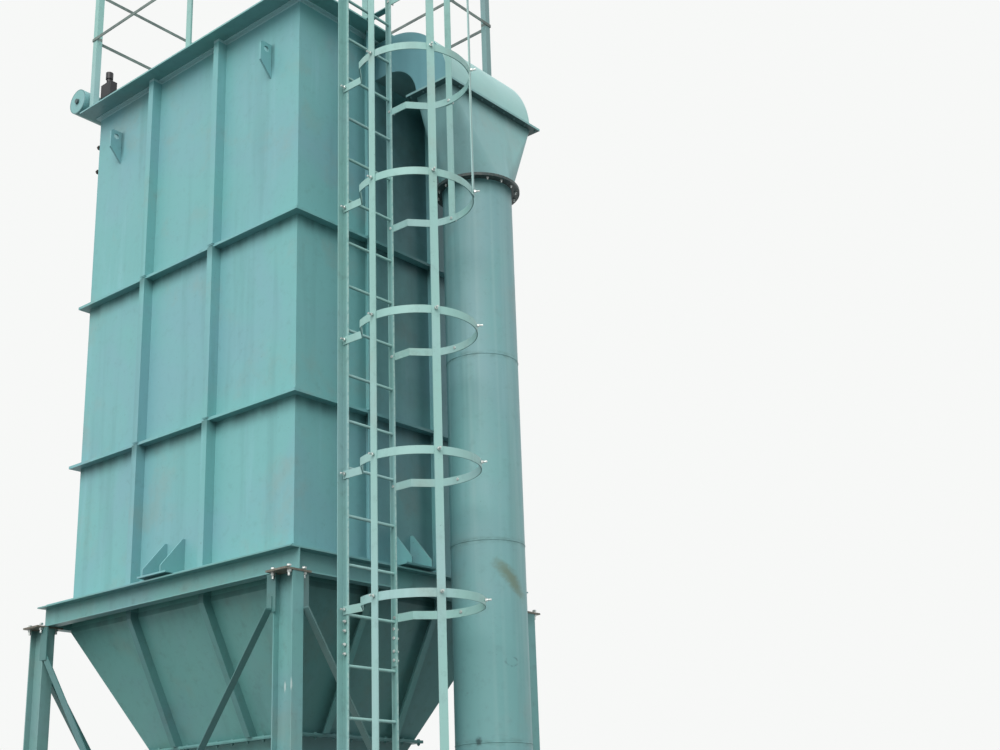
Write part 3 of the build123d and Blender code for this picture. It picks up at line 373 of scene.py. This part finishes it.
def elbowPaint():
    finish = Finish("elbowPaint")
    shade = paintShade(finish, paint["duct"])
    bend = radius(finish.x - elbow["axisX"], finish.z - elbow["axisZ"])
    above = finish.z > elbow["mouth"] + elbow["mouthSkin"]
    # painted highlight on the curved back, broken into patches
    back = (bend > elbow["outer"] - elbow["backSkin"]) * above
    sheen = finish.noise(3.5, detail=5.0, rough=0.65).ramp(0.3, 0.75)
    sheen = sheen * (1.0 - elbow["sheenLeast"]) + elbow["sheenLeast"]
    shade = finish.mix(back * sheen * elbow["backHighlightCover"], shade, elbow["backHighlightTone"])
    # painted shade on the cheeks
    cheek = abs(finish.facingY).ramp(*elbow["cheekFacing"])
    cheek = cheek * (bend < elbow["outer"] - elbow["cheekSkin"]) * above
    shade = finish.mix(cheek * elbow["cheekShadeCover"], shade, elbow["cheekShadeTone"])
    # painted light: the whole elbow paler than the duct's same paint
    shade = finish.mix(elbow["paintedLight"], shade, elbow["paintedLightTone"])
    # painted shade under the mouth flange
    nearMouth = abs(finish.z - elbow["mouth"]) < elbow["underReach"]
    under = (finish.facingZ < elbow["underFacing"]) * nearMouth
    shade = finish.mix(under * elbow["underShadeCover"], shade, elbow["underShadeTone"])
    shade = ringShade(finish, shade, finish.noise(60.0, detail=5.0, rough=0.7))
    return paintSurface(finish, shade)


# Stile paint: painted shade on the inner part of the outstanding leg by its corner; its edge is worn
# pale, with a painted highlight
stile = {"legStart": (0.226, 0.232), "legEnd": (0.246, 0.256), "legShadeCover": 0.35,
         "legShadeTone": rgb(66, 106, 104), "edge": (0.258, 0.266), "wornHighlightCover": 0.45,
         "wornHighlightTone": rgb(186, 212, 206)}


def stilePaint():
    finish = Finish("stilePaint")
    shade = paintShade(finish, paint["stile"])
    # painted shade in the inner corner of the angle
    leg = finish.x.ramp(*stile["legStart"])
    leg = leg * (1.0 - finish.x.ramp(*stile["legEnd"]))
    shade = finish.mix(leg * abs(finish.facingY) * stile["legShadeCover"], shade, stile["legShadeTone"])
    # pale edge: worn paint and a painted highlight
    worn = finish.x.ramp(*stile["edge"]) * finish.noise(30.0, detail=3.0).ramp(0.3, 0.6)
    shade = finish.mix(worn * stile["wornHighlightCover"], shade, stile["wornHighlightTone"])
    return paintSurface(finish, shade)


# Guard rail paint: pale posts, painted shade on the parts at the back, rails where the paint has gone
# and the steel is brown
guard = {"middleRail": (8.026, 8.053), "topRail": 8.466, "brown": rgb(82, 84, 82),
         "old": rgb(112, 120, 114), "railCover": 0.85, "backY": 1.98, "backShade": rgb(104, 128, 132),
         "backShadeCover": 0.7, "rough": 0.55}


def guardPaint():
    finish = Finish("guardPaint")
    shade = paintShade(finish, paint["ladder"])
    worn = finish.noise(9.0, detail=5.0, rough=0.7)
    bare = finish.mix(worn.ramp(0.35, 0.7), guard["brown"], guard["old"])
    railLow, railHigh = guard["middleRail"]
    rails = (finish.z > railLow) * (finish.z < railHigh) + (finish.z > guard["topRail"])
    # painted shade on the guard at the back
    shade = finish.mix((finish.y > guard["backY"]) * guard["backShadeCover"], shade, guard["backShade"])
    shade = finish.mix(rails.least(1.0) * guard["railCover"], shade, bare)
    return paintSurface(finish, shade, rough=guard["rough"])


# Header paint: dark rim and a dark plug on the end plates
header = {"x": -2.607, "z": 7.516, "rim": (0.091, 0.099), "rimCover": 0.6, "rimTone": rgb(70, 104, 108),
          "plug": (0.021, 0.027), "plugCover": 0.85, "plugTone": rgb(56, 62, 66)}


def headerPaint():
    finish = Finish("headerPaint")
    shade = paintShade(finish, paint["roof"])
    reach = radius(finish.x - header["x"], finish.z - header["z"])
    rim = reach.ramp(*header["rim"]) * abs(finish.facingY)
    shade = finish.mix(rim * header["rimCover"], shade, header["rimTone"])
    plug = 1.0 - reach.ramp(*header["plug"])
    shade = finish.mix(plug * header["plugCover"], shade, header["plugTone"])
    return paintSurface(finish, shade)


# Bare materials: zinc bolts, cast valve bodies, black regulator, dark steel
bare = {
    "zinc": {"tones": (rgb(206, 212, 210), rgb(164, 170, 168)), "rust": rgb(112, 84, 64),
             "rustCover": 0.55, "gloss": (0.2, 0.34), "rustDull": 0.8},
    "alloy": {"tones": (rgb(176, 180, 182), rgb(140, 146, 148)), "dust": rgb(150, 146, 132),
              "dustCover": 0.5, "gloss": (0.15, 0.42), "metal": 0.9, "dustDull": 0.6},
    "black": {"tone": rgb(34, 33, 38), "dust": rgb(110, 108, 104), "dustCover": 0.35,
              "gloss": (0.3, 0.42)},
    "dark": {"tones": (rgb(40, 44, 46), rgb(88, 74, 62)), "gloss": (0.3, 0.45), "metal": 0.3},
}


def zincSteel():
    finish, look = Finish("zincSteel"), bare["zinc"]
    tint = finish.noise(45.0, detail=4.0).ramp(0.35, 0.7)
    rust = finish.noise(90.0, detail=5.0, rough=0.7, shift=(1, 2, 3)).ramp(0.62, 0.76)
    shade = finish.mix(rust * look["rustCover"], finish.mix(tint, *look["tones"]), look["rust"])
    spread, least = look["gloss"]
    return finish.shade({"Base Color": shade, "Roughness": tint * spread + least,
                         "Metallic": 1.0 - rust * look["rustDull"],
                         "Normal": finish.bump(finish.noise(260.0, detail=2.0), 0.08, 0.001)})


def castAlloy():
    finish, look = Finish("castAlloy"), bare["alloy"]
    tint = finish.noise(12.0, detail=4.0).ramp(0.35, 0.7)
    dust = finish.facingZ.ramp(0.2, 0.9) * finish.noise(30.0, detail=4.0).ramp(0.3, 0.7)
    shade = finish.mix(dust * look["dustCover"], finish.mix(tint, *look["tones"]), look["dust"])
    spread, least = look["gloss"]
    return finish.shade({"Base Color": shade, "Roughness": tint * spread + least,
                         "Metallic": look["metal"] - dust * look["dustDull"],
                         "Normal": finish.bump(finish.noise(220.0, detail=3.0), 0.15, 0.001)})


def blackPlastic():
    finish, look = Finish("blackPlastic"), bare["black"]
    dust = finish.facingZ.ramp(0.1, 0.9) * finish.noise(40.0, detail=4.0).ramp(0.3, 0.75)
    spread, least = look["gloss"]
    return finish.shade({"Base Color": finish.mix(dust * look["dustCover"], look["tone"], look["dust"]),
                         "Roughness": dust * spread + least,
                         "Normal": finish.bump(finish.noise(500.0, detail=2.0), 0.06, 0.0005)})


def darkSteel():
    finish, look = Finish("darkSteel"), bare["dark"]
    scale = finish.noise(70.0, detail=5.0, rough=0.7)
    spread, least = look["gloss"]
    return finish.shade({"Base Color": finish.mix(scale.ramp(0.35, 0.75), *look["tones"]),
                         "Roughness": scale * spread + least, "Metallic": look["metal"],
                         "Normal": finish.bump(scale, 0.2, 0.001)})


# Casing paint: deep painted shade on the right wall under the elbow, a painted shadow beside each lug,
# painted light on the top flange
casing = {"shadeSpanY": (0.62, 0.98, 1.84, 2.03), "shadeTop": (6.90, 7.05), "deepening": (4.2, 6.4),
          "deeper": 0.30, "least": 0.42, "patchy": (0.3, 0.7), "facing": (0.5, 0.9),
          "elbowShadeTone": rgb(22, 50, 60), "lugs": (-0.415, -2.158), "lugFoot": (6.84, 6.96),
          "lugHead": (7.085, 7.125), "lugShift": 0.018, "lugSide": (0.006, 0.030), "lugShadowCover": 0.55,
          "lugShadowTone": rgb(50, 88, 92), "wallFront": (0.142, 0.150), "topFlange": 7.330,
          "flangeLightCover": 0.45, "flangeLightTone": rgb(200, 226, 230)}


def casingPaint():
    finish = Finish("casingPaint")
    shade = paintShade(finish, paint["casing"])
    # painted shade on the right wall under the elbow
    startY, fullY, fadeY, endY = casing["shadeSpanY"]
    across = finish.y.ramp(startY, fullY) * (1.0 - finish.y.ramp(fadeY, endY))
    high = 1.0 - finish.z.ramp(*casing["shadeTop"])
    deep = finish.z.ramp(*casing["deepening"]) * casing["deeper"] + casing["least"]
    spread, least = casing["patchy"]
    cloud = finish.noise(4.0, detail=4.0, rough=0.6).ramp(0.2, 0.8) * spread + least
    grimeAndShade = across * high * deep * cloud * finish.facingX.ramp(*casing["facing"])
    shade = finish.mix(grimeAndShade, shade, casing["elbowShadeTone"])
    frontLow, frontHigh = casing["wallFront"]
    front = (finish.y < frontHigh) * (finish.y > frontLow)
    tall = finish.z.ramp(*casing["lugFoot"])
    tall = tall * (1.0 - finish.z.ramp(*casing["lugHead"]))
    # painted shadow beside each lug
    for lug in casing["lugs"]:
        beside = 1.0 - abs(finish.x - lug - casing["lugShift"]).ramp(*casing["lugSide"])
        shade = finish.mix(beside * tall * front * casing["lugShadowCover"], shade, casing["lugShadowTone"])
    # painted light on the top flange
    flange = (finish.z > casing["topFlange"]) * casing["flangeLightCover"]
    return paintSurface(finish, finish.mix(flange, shade, casing["flangeLightTone"]))


# Hopper paint: painted shade darkens the side under the duct and ladder
hopper = {"facing": (0.4, 0.8), "cover": 0.42, "tone": rgb(26, 58, 62)}


def hopperPaint():
    finish = Finish("hopperPaint")
    shade = paintShade(finish, paint["hopper"])
    # painted shade on the side facing +X
    side = finish.facingX.ramp(*hopper["facing"])
    return paintSurface(finish, finish.mix(side * hopper["cover"], shade, hopper["tone"]))


# Bracing paint: dull and dark, on the right side browner
brace = {"front": rgb(30, 70, 68), "right": rgb(74, 74, 72), "share": 0.50}


def bracePaint(side):
    finish = Finish(side + "BracePaint")
    shade = paintShade(finish, paint["frame"])
    return paintSurface(finish, finish.mix(brace["share"], shade, brace[side]))


finishes = {
    "casing": casingPaint(),
    "hopper": hopperPaint(),
    "rib": plainPaint("rib"),
    "frame": plainPaint("frame"),
    "ladder": plainPaint("ladder"),
    "roof": plainPaint("roof"),
    "brace": bracePaint("front"),
    "brownBrace": bracePaint("right"),
    "column": columnPaint(),
    "duct": ductPaint(),
    "elbow": elbowPaint(),
    "stile": stilePaint(),
    "guard": guardPaint(),
    "header": headerPaint(),
    "zinc": zincSteel(),
    "alloy": castAlloy(),
    "black": blackPlastic(),
    "dark": darkSteel(),
}
nodeFinish = {
    "casing": ("casing_lower", "casing_middle", "casing_upper", "wall_stiffeners", "lifting_lugs",
               "wall_brackets"),
    "hopper": ("hopper_upper", "hopper_lower", "gate_frame"),
    "rib": ("hopper_ribs",),
    "frame": ("beam_front", "beam_back", "beam_left", "beam_right", "ladder_brackets", "duct_legs"),
    "brace": ("bracing_front", "bracing_back", "bracing_left"),
    "brownBrace": ("bracing_right",),
    "column": ("column_front_left", "column_front_right", "column_back_left", "column_back_right"),
    "duct": ("outlet_duct",),
    "elbow": ("outlet_elbow", "outlet_transition"),
    "stile": ("ladder_stiles",),
    "ladder": ("ladder_rungs", "cage_hoops_lower", "cage_hoops_upper", "cage_straps"),
    "guard": ("guard_front", "guard_back", "guard_left", "guard_right"),
    "roof": ("roof_plate", "roof_hatches", "header_saddles"),
    "header": ("header_tank", "header_ends"),
    "zinc": ("blow_pipes", "gate_plate"),
    "alloy": ("pulse_valves",),
    "black": ("air_regulator",),
}
for finishName, names in nodeFinish.items():
    for name in names:
        node = cadNodes[name]
        node.data.materials.clear()
        node.data.materials.append(finishes[finishName])
print("collector: materials on the CAD nodes")


# Helpers for new pieces
def alone():
    bpy.ops.object.select_all(action="DESELECT")


def pick(piece):
    alone()
    piece.select_set(True)
    bpy.context.view_layer.objects.active = piece


def settle(piece, name, finishName):
    # the piece's place goes into its mesh, and it rides on the one body
    pick(piece)
    bpy.ops.object.transform_apply(location=True, rotation=True, scale=True)
    piece.name = name
    piece.data.name = name
    piece.data.materials.clear()
    piece.data.materials.append(finishes[finishName])
    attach(piece, "root")


def gather(parts):
    # several objects become one mesh
    alone()
    for part in parts:
        part.select_set(True)
    bpy.context.view_layer.objects.active = parts[0]
    bpy.ops.object.join()
    return parts[0]


def copies(model, places):
    # one copy of a small model at each matrix, each with its own mesh, joined to one piece
    made = []
    for place in places:
        twin = model.copy()
        twin.data = model.data.copy()
        twin.data.transform(place)
        scene.collection.objects.link(twin)
        made.append(twin)
    bpy.data.objects.remove(model)
    return gather(made)


def pointing(spot, direction):
    # matrix that stands a model's +Z along a direction at a spot
    turn = Vector((0, 0, 1)).rotation_difference(Vector(direction)).to_matrix().to_4x4()
    return Matrix.Translation(Vector(spot)) @ turn


def cylinder(sides, size, long, spot, turn=(0, 0, 0)):
    alone()
    bpy.ops.mesh.primitive_cylinder_add(vertices=sides, radius=size, depth=long, location=spot,
                                        rotation=turn)
    return bpy.context.object


def block(spot, size):
    # box with its size in its mesh
    alone()
    bpy.ops.mesh.primitive_cube_add(size=1, location=spot)
    box = bpy.context.object
    box.scale = size
    bpy.ops.object.transform_apply(location=False, rotation=False, scale=True)
    return box


def pickFaces(piece, test):
    # edit mode with only the faces that pass a test
    bpy.ops.object.mode_set(mode="EDIT")
    bpy.ops.mesh.select_all(action="DESELECT")
    bpy.ops.object.mode_set(mode="OBJECT")
    for face in piece.data.polygons:
        face.select = test(face)
    bpy.ops.object.mode_set(mode="EDIT")


def pushFaces(piece, test, inset, push):
    # inset the faces that pass a test and push them along Z
    pickFaces(piece, test)
    bpy.ops.mesh.inset(thickness=inset, depth=0)
    bpy.ops.transform.translate(value=(0, 0, push))
    bpy.ops.object.mode_set(mode="OBJECT")


def roundEdges(piece, width):
    bevel = piece.modifiers.new("edge", "BEVEL")
    bevel.width = width
    bevel.segments = 2
    bpy.ops.object.modifier_apply(modifier="edge")


def chamfer(size):
    # every edge of the active object
    bpy.ops.object.mode_set(mode="EDIT")
    bpy.ops.mesh.select_all(action="SELECT")
    bpy.ops.mesh.bevel(offset=size, segments=1)
    bpy.ops.object.mode_set(mode="OBJECT")


# Shares of a bolt's size; a face counts as level past the limit
bolts = {"flat": 0.9, "head": 0.65, "nut": 0.85, "inset": 0.14, "crown": 0.1, "sink": 0.2,
         "threadInset": 0.08, "threadDip": 0.06, "level": 0.9}


def hexBolt(size, grip, tail):
    # head above z = 0, nut below -grip, thread end tail long under the nut
    flat = size * bolts["flat"]
    nutLow = -grip - size * bolts["nut"]
    parts = []
    for low, high, outer in ((0.0, size * bolts["head"], 1), (nutLow, -grip, -1)):
        hexagon = cylinder(6, flat, high - low, (0, 0, (low + high) / 2))
        pushFaces(hexagon, lambda face: face.normal.z * outer > bolts["level"],
                  flat * bolts["inset"], outer * size * bolts["crown"])
        parts.append(hexagon)
    sink = size * bolts["sink"]
    shank = cylinder(12, size / 2, tail + sink, (0, 0, nutLow - tail / 2 + sink / 2))
    pushFaces(shank, lambda face: face.normal.z < -bolts["level"], size * bolts["threadInset"],
              -size * bolts["threadDip"])
    parts.append(shank)
    return gather(parts)


# Bolts that hold the beams on the column cap plates
capBolts = {"size": 0.016, "grip": 0.021, "tail": 0.022, "spreadX": 0.140, "spreadY": 0.120,
            "columns": ((0.0, 0.0), (-2.573, 0.0), (0.0, 2.184), (-2.573, 2.184)), "level": 3.291}
places = []
for columnX, columnY in capBolts["columns"]:
    for sideX in (-0.5, 0.5):
        for sideY in (-0.5, 0.5):
            spot = (columnX + sideX * capBolts["spreadX"], columnY + sideY * capBolts["spreadY"],
                    capBolts["level"])
            places.append(pointing(spot, (0, 0, 1)))
bolt = hexBolt(capBolts["size"], capBolts["grip"], capBolts["tail"])
settle(copies(bolt, places), "capPlateBolts", "zinc")

# Bolts of the cage: one wherever a strap crosses a hoop and one on each stile, at every hoop
cage = {"centreX": 0.664, "centreY": 0.4339, "hoopOuter": 0.374, "strap": 0.006,
        "longAngles": (-91, -30), "shortAngles": (30, 93),
        "hoops": (2.140, 3.035, 3.864, 4.734, 5.644, 6.521, 7.395, 8.270), "bareHoops": 4,
        "size": 0.012, "tail": 0.024, "stileX": 0.250, "stileHalf": 0.2075, "stileGrip": 0.012}
bolt = hexBolt(cage["size"], cage["strap"] * 2, cage["tail"])
bareBolt = hexBolt(cage["size"], cage["strap"], cage["tail"])
places, barePlaces = [], []
for number, hoop in enumerate(cage["hoops"]):
    centre = Vector((cage["centreX"], cage["centreY"], hoop))
    for angle in cage["longAngles"] + cage["shortAngles"]:
        turn = math.radians(angle)
        out = Vector((math.cos(turn), math.sin(turn), 0))
        noStrap = angle in cage["shortAngles"] and number < cage["bareHoops"]
        place = pointing(centre + out * (cage["hoopOuter"] - cage["strap"]), -out)
        (barePlaces if noStrap else places).append(place)
    for side in (-1, 1):
        spotY = cage["centreY"] + side * (cage["stileHalf"] - cage["stileGrip"] / 2)
        places.append(pointing((cage["stileX"], spotY, hoop), (0, -side, 0)))
settle(copies(bolt, places), "cageBolts", "zinc")
settle(copies(bareBolt, barePlaces), "cageBareBolts", "zinc")

# Fish plates and bolts where the stiles are spliced
splice = {"low": 2.74, "high": 3.00, "rows": (2.775, 2.830, 2.910, 2.965), "legX": 0.250,
          "width": 0.036, "thick": 0.006, "faces": ((0.2324, 1), (0.6354, -1)), "size": 0.012,
          "tail": 0.010, "round": 0.0018}
parts, places = [], []
for face, inward in splice["faces"]:
    plate = block((splice["legX"], face + inward * splice["thick"] / 2,
                   (splice["low"] + splice["high"]) / 2),
                  (splice["width"], splice["thick"], splice["high"] - splice["low"]))
    roundEdges(plate, splice["round"])
    parts.append(plate)
    for row in splice["rows"]:
        spot = (splice["legX"], face + inward * splice["thick"], row)
        places.append(pointing(spot, (0, inward, 0)))
settle(gather(parts), "ladderSplicePlates", "stile")
bolt = hexBolt(splice["size"], splice["thick"] * 2, splice["tail"])
settle(copies(bolt, places), "ladderSpliceBolts", "zinc")

# Bolts of the flange pair between the transition and the duct
ringBolts = {"count": 16, "radius": 0.272, "level": 6.108, "size": 0.010, "grip": 0.020,
             "tail": 0.010}
places = []
for number in range(ringBolts["count"]):
    turn = math.tau * (number + 0.5) / ringBolts["count"]
    places.append(pointing((duct["axisX"] + ringBolts["radius"] * math.cos(turn),
                            duct["axisY"] + ringBolts["radius"] * math.sin(turn),
                            ringBolts["level"]), (0, 0, 1)))
bolt = hexBolt(ringBolts["size"], ringBolts["grip"], ringBolts["tail"])
settle(copies(bolt, places), "ductFlangeBolts", "zinc")

# Bolts round the hopper's middle flange and the outlet elbow's mouth flange
rings = {"hopper": {"centre": (-1.2865, 1.092), "half": (0.773, 0.5555), "top": 2.413,
                    "grip": 0.020, "pitch": 0.150, "size": 0.012, "tail": 0.006},
         "mouth": {"centre": (0.4315, 1.323), "half": (0.1725, 0.476), "top": 6.743,
                   "grip": 0.016, "pitch": 0.120, "size": 0.008, "tail": 0.004}}


def frameBolts(ring, name, finishName):
    # bolts at an even pitch round a rectangular flange
    halfX, halfY = ring["half"]
    centreX, centreY = ring["centre"]
    alongX = round(2 * halfX / ring["pitch"])
    alongY = round(2 * halfY / ring["pitch"])
    spots = []
    for number in range(alongX + 1):
        for side in (-1, 1):
            spots.append((centreX - halfX + 2 * halfX * number / alongX, centreY + side * halfY))
    for number in range(1, alongY):
        for side in (-1, 1):
            spots.append((centreX + side * halfX, centreY - halfY + 2 * halfY * number / alongY))
    model = hexBolt(ring["size"], ring["grip"], ring["tail"])
    spots = [pointing((x, y, ring["top"]), (0, 0, 1)) for x, y in spots]
    settle(copies(model, spots), name, finishName)


frameBolts(rings["hopper"], "hopperFlangeBolts", "hopper")
frameBolts(rings["mouth"], "elbowFlangeBolts", "elbow")
print("collector: bolts")

# Weld beads round the duct's sheets
beads = {"minor": 0.0028, "wobble": 0.0009, "steps": 120, "sides": 6}
parts = []
for number, seam in enumerate(duct["seams"]):
    alone()
    bpy.ops.mesh.primitive_torus_add(location=(duct["axisX"], duct["axisY"], seam),
                                     major_radius=duct["tube"], minor_radius=beads["minor"],
                                     major_segments=beads["steps"], minor_segments=beads["sides"])
    bead = bpy.context.object
    bpy.ops.object.mode_set(mode="EDIT")
    bpy.ops.mesh.select_all(action="SELECT")
    bpy.ops.transform.vertex_random(offset=beads["wobble"], seed=number)
    bpy.ops.object.mode_set(mode="OBJECT")
    parts.append(bead)
settle(gather(parts), "ductWeldBeads", "duct")
print("collector: weld beads")


# Tops of the pulse valves: a ring of cap screws, a pilot coil and its cable plug
valve = {"x": -2.607, "firstY": 0.504, "pitch": 0.2352, "count": 6, "capTop": 7.740,
         "ringTop": 7.710, "screws": 6, "screwRing": 0.045, "screwSize": 0.006, "screwGrip": 0.055,
         "screwTail": 0.006, "coil": (0.034, 0.040, 0.046), "stem": 0.010, "stemHigh": 0.018,
         "stemSides": 16, "plug": (0.028, 0.026, 0.030), "round": 0.005, "plugRound": 0.7,
         "lap": 0.002, "chamfer": 0.002, "topInset": 1.4, "topRise": 0.5}


def softBlock(spot, size, rounding):
    # a block with rounded edges, its inset top face raised a little
    body = block(spot, size)
    pushFaces(body, lambda face: face.normal.z > bolts["level"], rounding * valve["topInset"],
              rounding * valve["topRise"])
    roundEdges(body, rounding)
    return body


coils, plugs, stems, places = [], [], [], []
for number in range(valve["count"]):
    y = valve["firstY"] + number * valve["pitch"]
    coilMid = valve["capTop"] + valve["stemHigh"] + valve["coil"][2] / 2
    coils.append(softBlock((valve["x"], y, coilMid), valve["coil"], valve["round"]))
    plugX = valve["x"] - (valve["coil"][0] + valve["plug"][0]) / 2 + valve["lap"]
    plugs.append(softBlock((plugX, y, coilMid), valve["plug"], valve["round"] * valve["plugRound"]))
    stem = cylinder(valve["stemSides"], valve["stem"], valve["stemHigh"] + valve["lap"],
                    (valve["x"], y, valve["capTop"] + valve["stemHigh"] / 2))
    chamfer(valve["chamfer"])
    stems.append(stem)
    for screw in range(valve["screws"]):
        turn = math.tau * (screw + 0.5) / valve["screws"]
        spot = (valve["x"] + valve["screwRing"] * math.cos(turn),
                y + valve["screwRing"] * math.sin(turn), valve["ringTop"])
        places.append(pointing(spot, (0, 0, 1)))
settle(gather(coils + plugs), "pilotCoils", "black")
settle(gather(stems), "pilotStems", "zinc")
screw = hexBolt(valve["screwSize"], valve["screwGrip"], valve["screwTail"])
settle(copies(screw, places), "valveScrews", "zinc")
print("collector: valve tops")

# Clips that hold the hatch lids: a bent strap and a bolt at each
clip = {"x": (-1.9365, -0.4365), "hatches": ((0.272, 1.032), (1.152, 1.912)), "inset": 0.14,
        "width": 0.040, "thick": 0.005, "standOff": 1.2, "reach": 0.052, "turnIn": 0.8,
        "boltIn": 0.4, "cuts": 10, "lidReach": 0.025, "lidTop": 7.413, "roof": 7.362,
        "size": 0.010, "tail": 0.002}


def bentClip(spot, side):
    # flat bar that stands on the roof beside the lid and turns in over its edge
    high = clip["lidTop"] + clip["thick"] - clip["roof"]
    strip = block((side * clip["thick"] * clip["standOff"], 0, clip["roof"] + high / 2),
                  (clip["thick"], clip["width"], high))
    bpy.ops.object.transform_apply(location=True, rotation=False, scale=False)
    pickFaces(strip, lambda face: face.normal.x * side < -bolts["level"])
    bpy.ops.mesh.subdivide(number_cuts=clip["cuts"])
    pickFaces(strip, lambda face: (face.normal.x * side < -bolts["level"]
                                   and face.center.z > clip["lidTop"]))
    bpy.ops.mesh.extrude_region_move(
        TRANSFORM_OT_translate={"value": (-side * clip["reach"] * clip["turnIn"], 0, 0)})
    bpy.ops.object.mode_set(mode="OBJECT")
    strip.data.transform(Matrix.Translation(Vector((*spot, 0))))
    return strip


parts, places = [], []
for lowY, highY in clip["hatches"]:
    for side, edge in ((-1, clip["x"][0]), (1, clip["x"][1])):
        for y in (lowY + clip["inset"], highY - clip["inset"]):
            x = edge + side * clip["lidReach"]
            parts.append(bentClip((x, y), side))
            spot = (x - side * clip["reach"] * clip["boltIn"], y, clip["lidTop"] + clip["thick"])
            places.append(pointing(spot, (0, 0, 1)))
settle(gather(parts), "hatchClips", "zinc")
bolt = hexBolt(clip["size"], clip["thick"], clip["tail"])
settle(copies(bolt, places), "hatchClipBolts", "zinc")
print("collector: hatch clips")

# Two short test nipples on the left wall near its front edge
nipple = {"x": -2.449, "y": 0.166, "levels": (6.898, 7.111), "chamfer": 0.0015,
          "rings": ({"radius": 0.011, "start": 0.0, "long": 0.045, "sides": 16},
                    {"radius": 0.019, "start": 0.024, "long": 0.018, "sides": 6})}
parts = []
for level in nipple["levels"]:
    for ring in nipple["rings"]:
        spot = (nipple["x"] - ring["start"] - ring["long"] / 2, nipple["y"], level)
        parts.append(cylinder(ring["sides"], ring["radius"], ring["long"], spot,
                              (0, math.pi / 2, 0)))
        chamfer(nipple["chamfer"])
settle(gather(parts), "wallNipples", "dark")
print("collector: wall nipples")


# Floor, light and camera
stage = {"floorReach": 60.0, "floorDrop": 0.0005, "floorSeen": rgb(202, 199, 198),
         "floorBounce": (0.15, 0.18, 0.175), "floorClouds": 0.4, "floorDarker": 0.96,
         "floorRough": 0.9, "sky": (0.93, 0.94, 0.93), "skyTint": (0.90, 0.985, 1.0),
         "skyTop": 0.9, "overhead": 1.40, "horizon": 0.44, "sun": 2.3, "sunTint": (1.0, 0.95, 0.91),
         "sunSpot": (-3, -8, 12), "sunTurn": (50.0, 0.0, 26.0), "sunWidth": 50.0}


def seenRays(finish):
    # 1 for rays from the camera, from a reflection or through a clear surface
    rays = finish.node("ShaderNodeLightPath", out="Is Camera Ray")
    for other in ("Is Glossy Ray", "Is Transmission Ray"):
        rays = rays.most(finish.node("ShaderNodeLightPath", out=other))
    return rays


def floorFinish():
    finish = Finish("studioFloor")
    cloud = finish.noise(stage["floorClouds"], detail=3.0)
    darker = tuple(c * stage["floorDarker"] for c in stage["floorSeen"])
    pale = finish.mix(cloud, stage["floorSeen"], darker)
    return finish.shade({"Base Color": finish.mix(seenRays(finish), stage["floorBounce"], pale),
                         "Roughness": stage["floorRough"]})


alone()
bpy.ops.mesh.primitive_plane_add(size=stage["floorReach"] * 2, location=(0, 0, -stage["floorDrop"]))
floor = bpy.context.object
floor.name = "studioFloor"
floor.data.materials.append(floorFinish())


# The sky's nodes: a soft gradient that lights, and one pale tone that is seen
class Sky(Finish):
    def __init__(self, name):
        self.world = bpy.data.worlds.new(name)
        self.clear(self.world, "ShaderNodeOutputWorld")
        height = self.split(self.node("ShaderNodeTexCoord", out="Generated"))[2]
        climb = self.node("ShaderNodeMapRange", {},
                          {"Value": height, "From Min": 0.0, "From Max": stage["skyTop"],
                           "To Min": stage["horizon"], "To Max": stage["overhead"]})
        soft = self.node("ShaderNodeBackground", {},
                         {"Color": (*stage["skyTint"], 1.0), "Strength": climb})
        seen = self.node("ShaderNodeBackground", {}, {"Color": (*stage["sky"], 1.0)})
        self.close(self.node("ShaderNodeMixShader", {}, {0: seenRays(self), 1: soft, 2: seen}))


scene.world = Sky("studioSky").world

alone()
bpy.ops.object.light_add(type="SUN", location=stage["sunSpot"])
sun = bpy.context.object
sun.name = "softSun"
sun.data.energy = stage["sun"]
sun.data.color = stage["sunTint"]
sun.data.angle = math.radians(stage["sunWidth"])
sun.rotation_euler = [math.radians(turn) for turn in stage["sunTurn"]]

view = {"spot": (6.056, -5.368, 1.550), "heading": 129.487, "climb": 17.017, "roll": -1.927,
        "focal": 1377.8, "centreX": 497.7, "centreY": 448.0, "width": 1000.0, "height": 750.0,
        "sensor": 36.0, "clipEnd": 400.0}
heading, climbTurn, roll = (math.radians(view[key]) for key in ("heading", "climb", "roll"))
ahead = Vector((math.cos(heading) * math.cos(climbTurn), math.sin(heading) * math.cos(climbTurn),
                math.sin(climbTurn)))
level = Vector((math.sin(heading), -math.cos(heading), 0))
upward = level.cross(ahead)
right = level * math.cos(roll) + upward * math.sin(roll)
top = upward * math.cos(roll) - level * math.sin(roll)
cameraData = bpy.data.cameras.new("photoCamera")
camera = bpy.data.objects.new("photoCamera", cameraData)
scene.collection.objects.link(camera)
cameraData.sensor_width = view["sensor"]
cameraData.lens = view["focal"] * view["sensor"] / view["width"]
cameraData.shift_x = (view["width"] / 2 - view["centreX"]) / view["width"]
cameraData.shift_y = (view["centreY"] - view["height"] / 2) / view["width"]
cameraData.clip_end = view["clipEnd"]
camera.matrix_world = Matrix.Translation(Vector(view["spot"])) @ Matrix(
    (right, top, -ahead)).transposed().to_4x4()
scene.camera = camera
scene.view_settings.view_transform = "Standard"
print("collector: stage, light and camera")
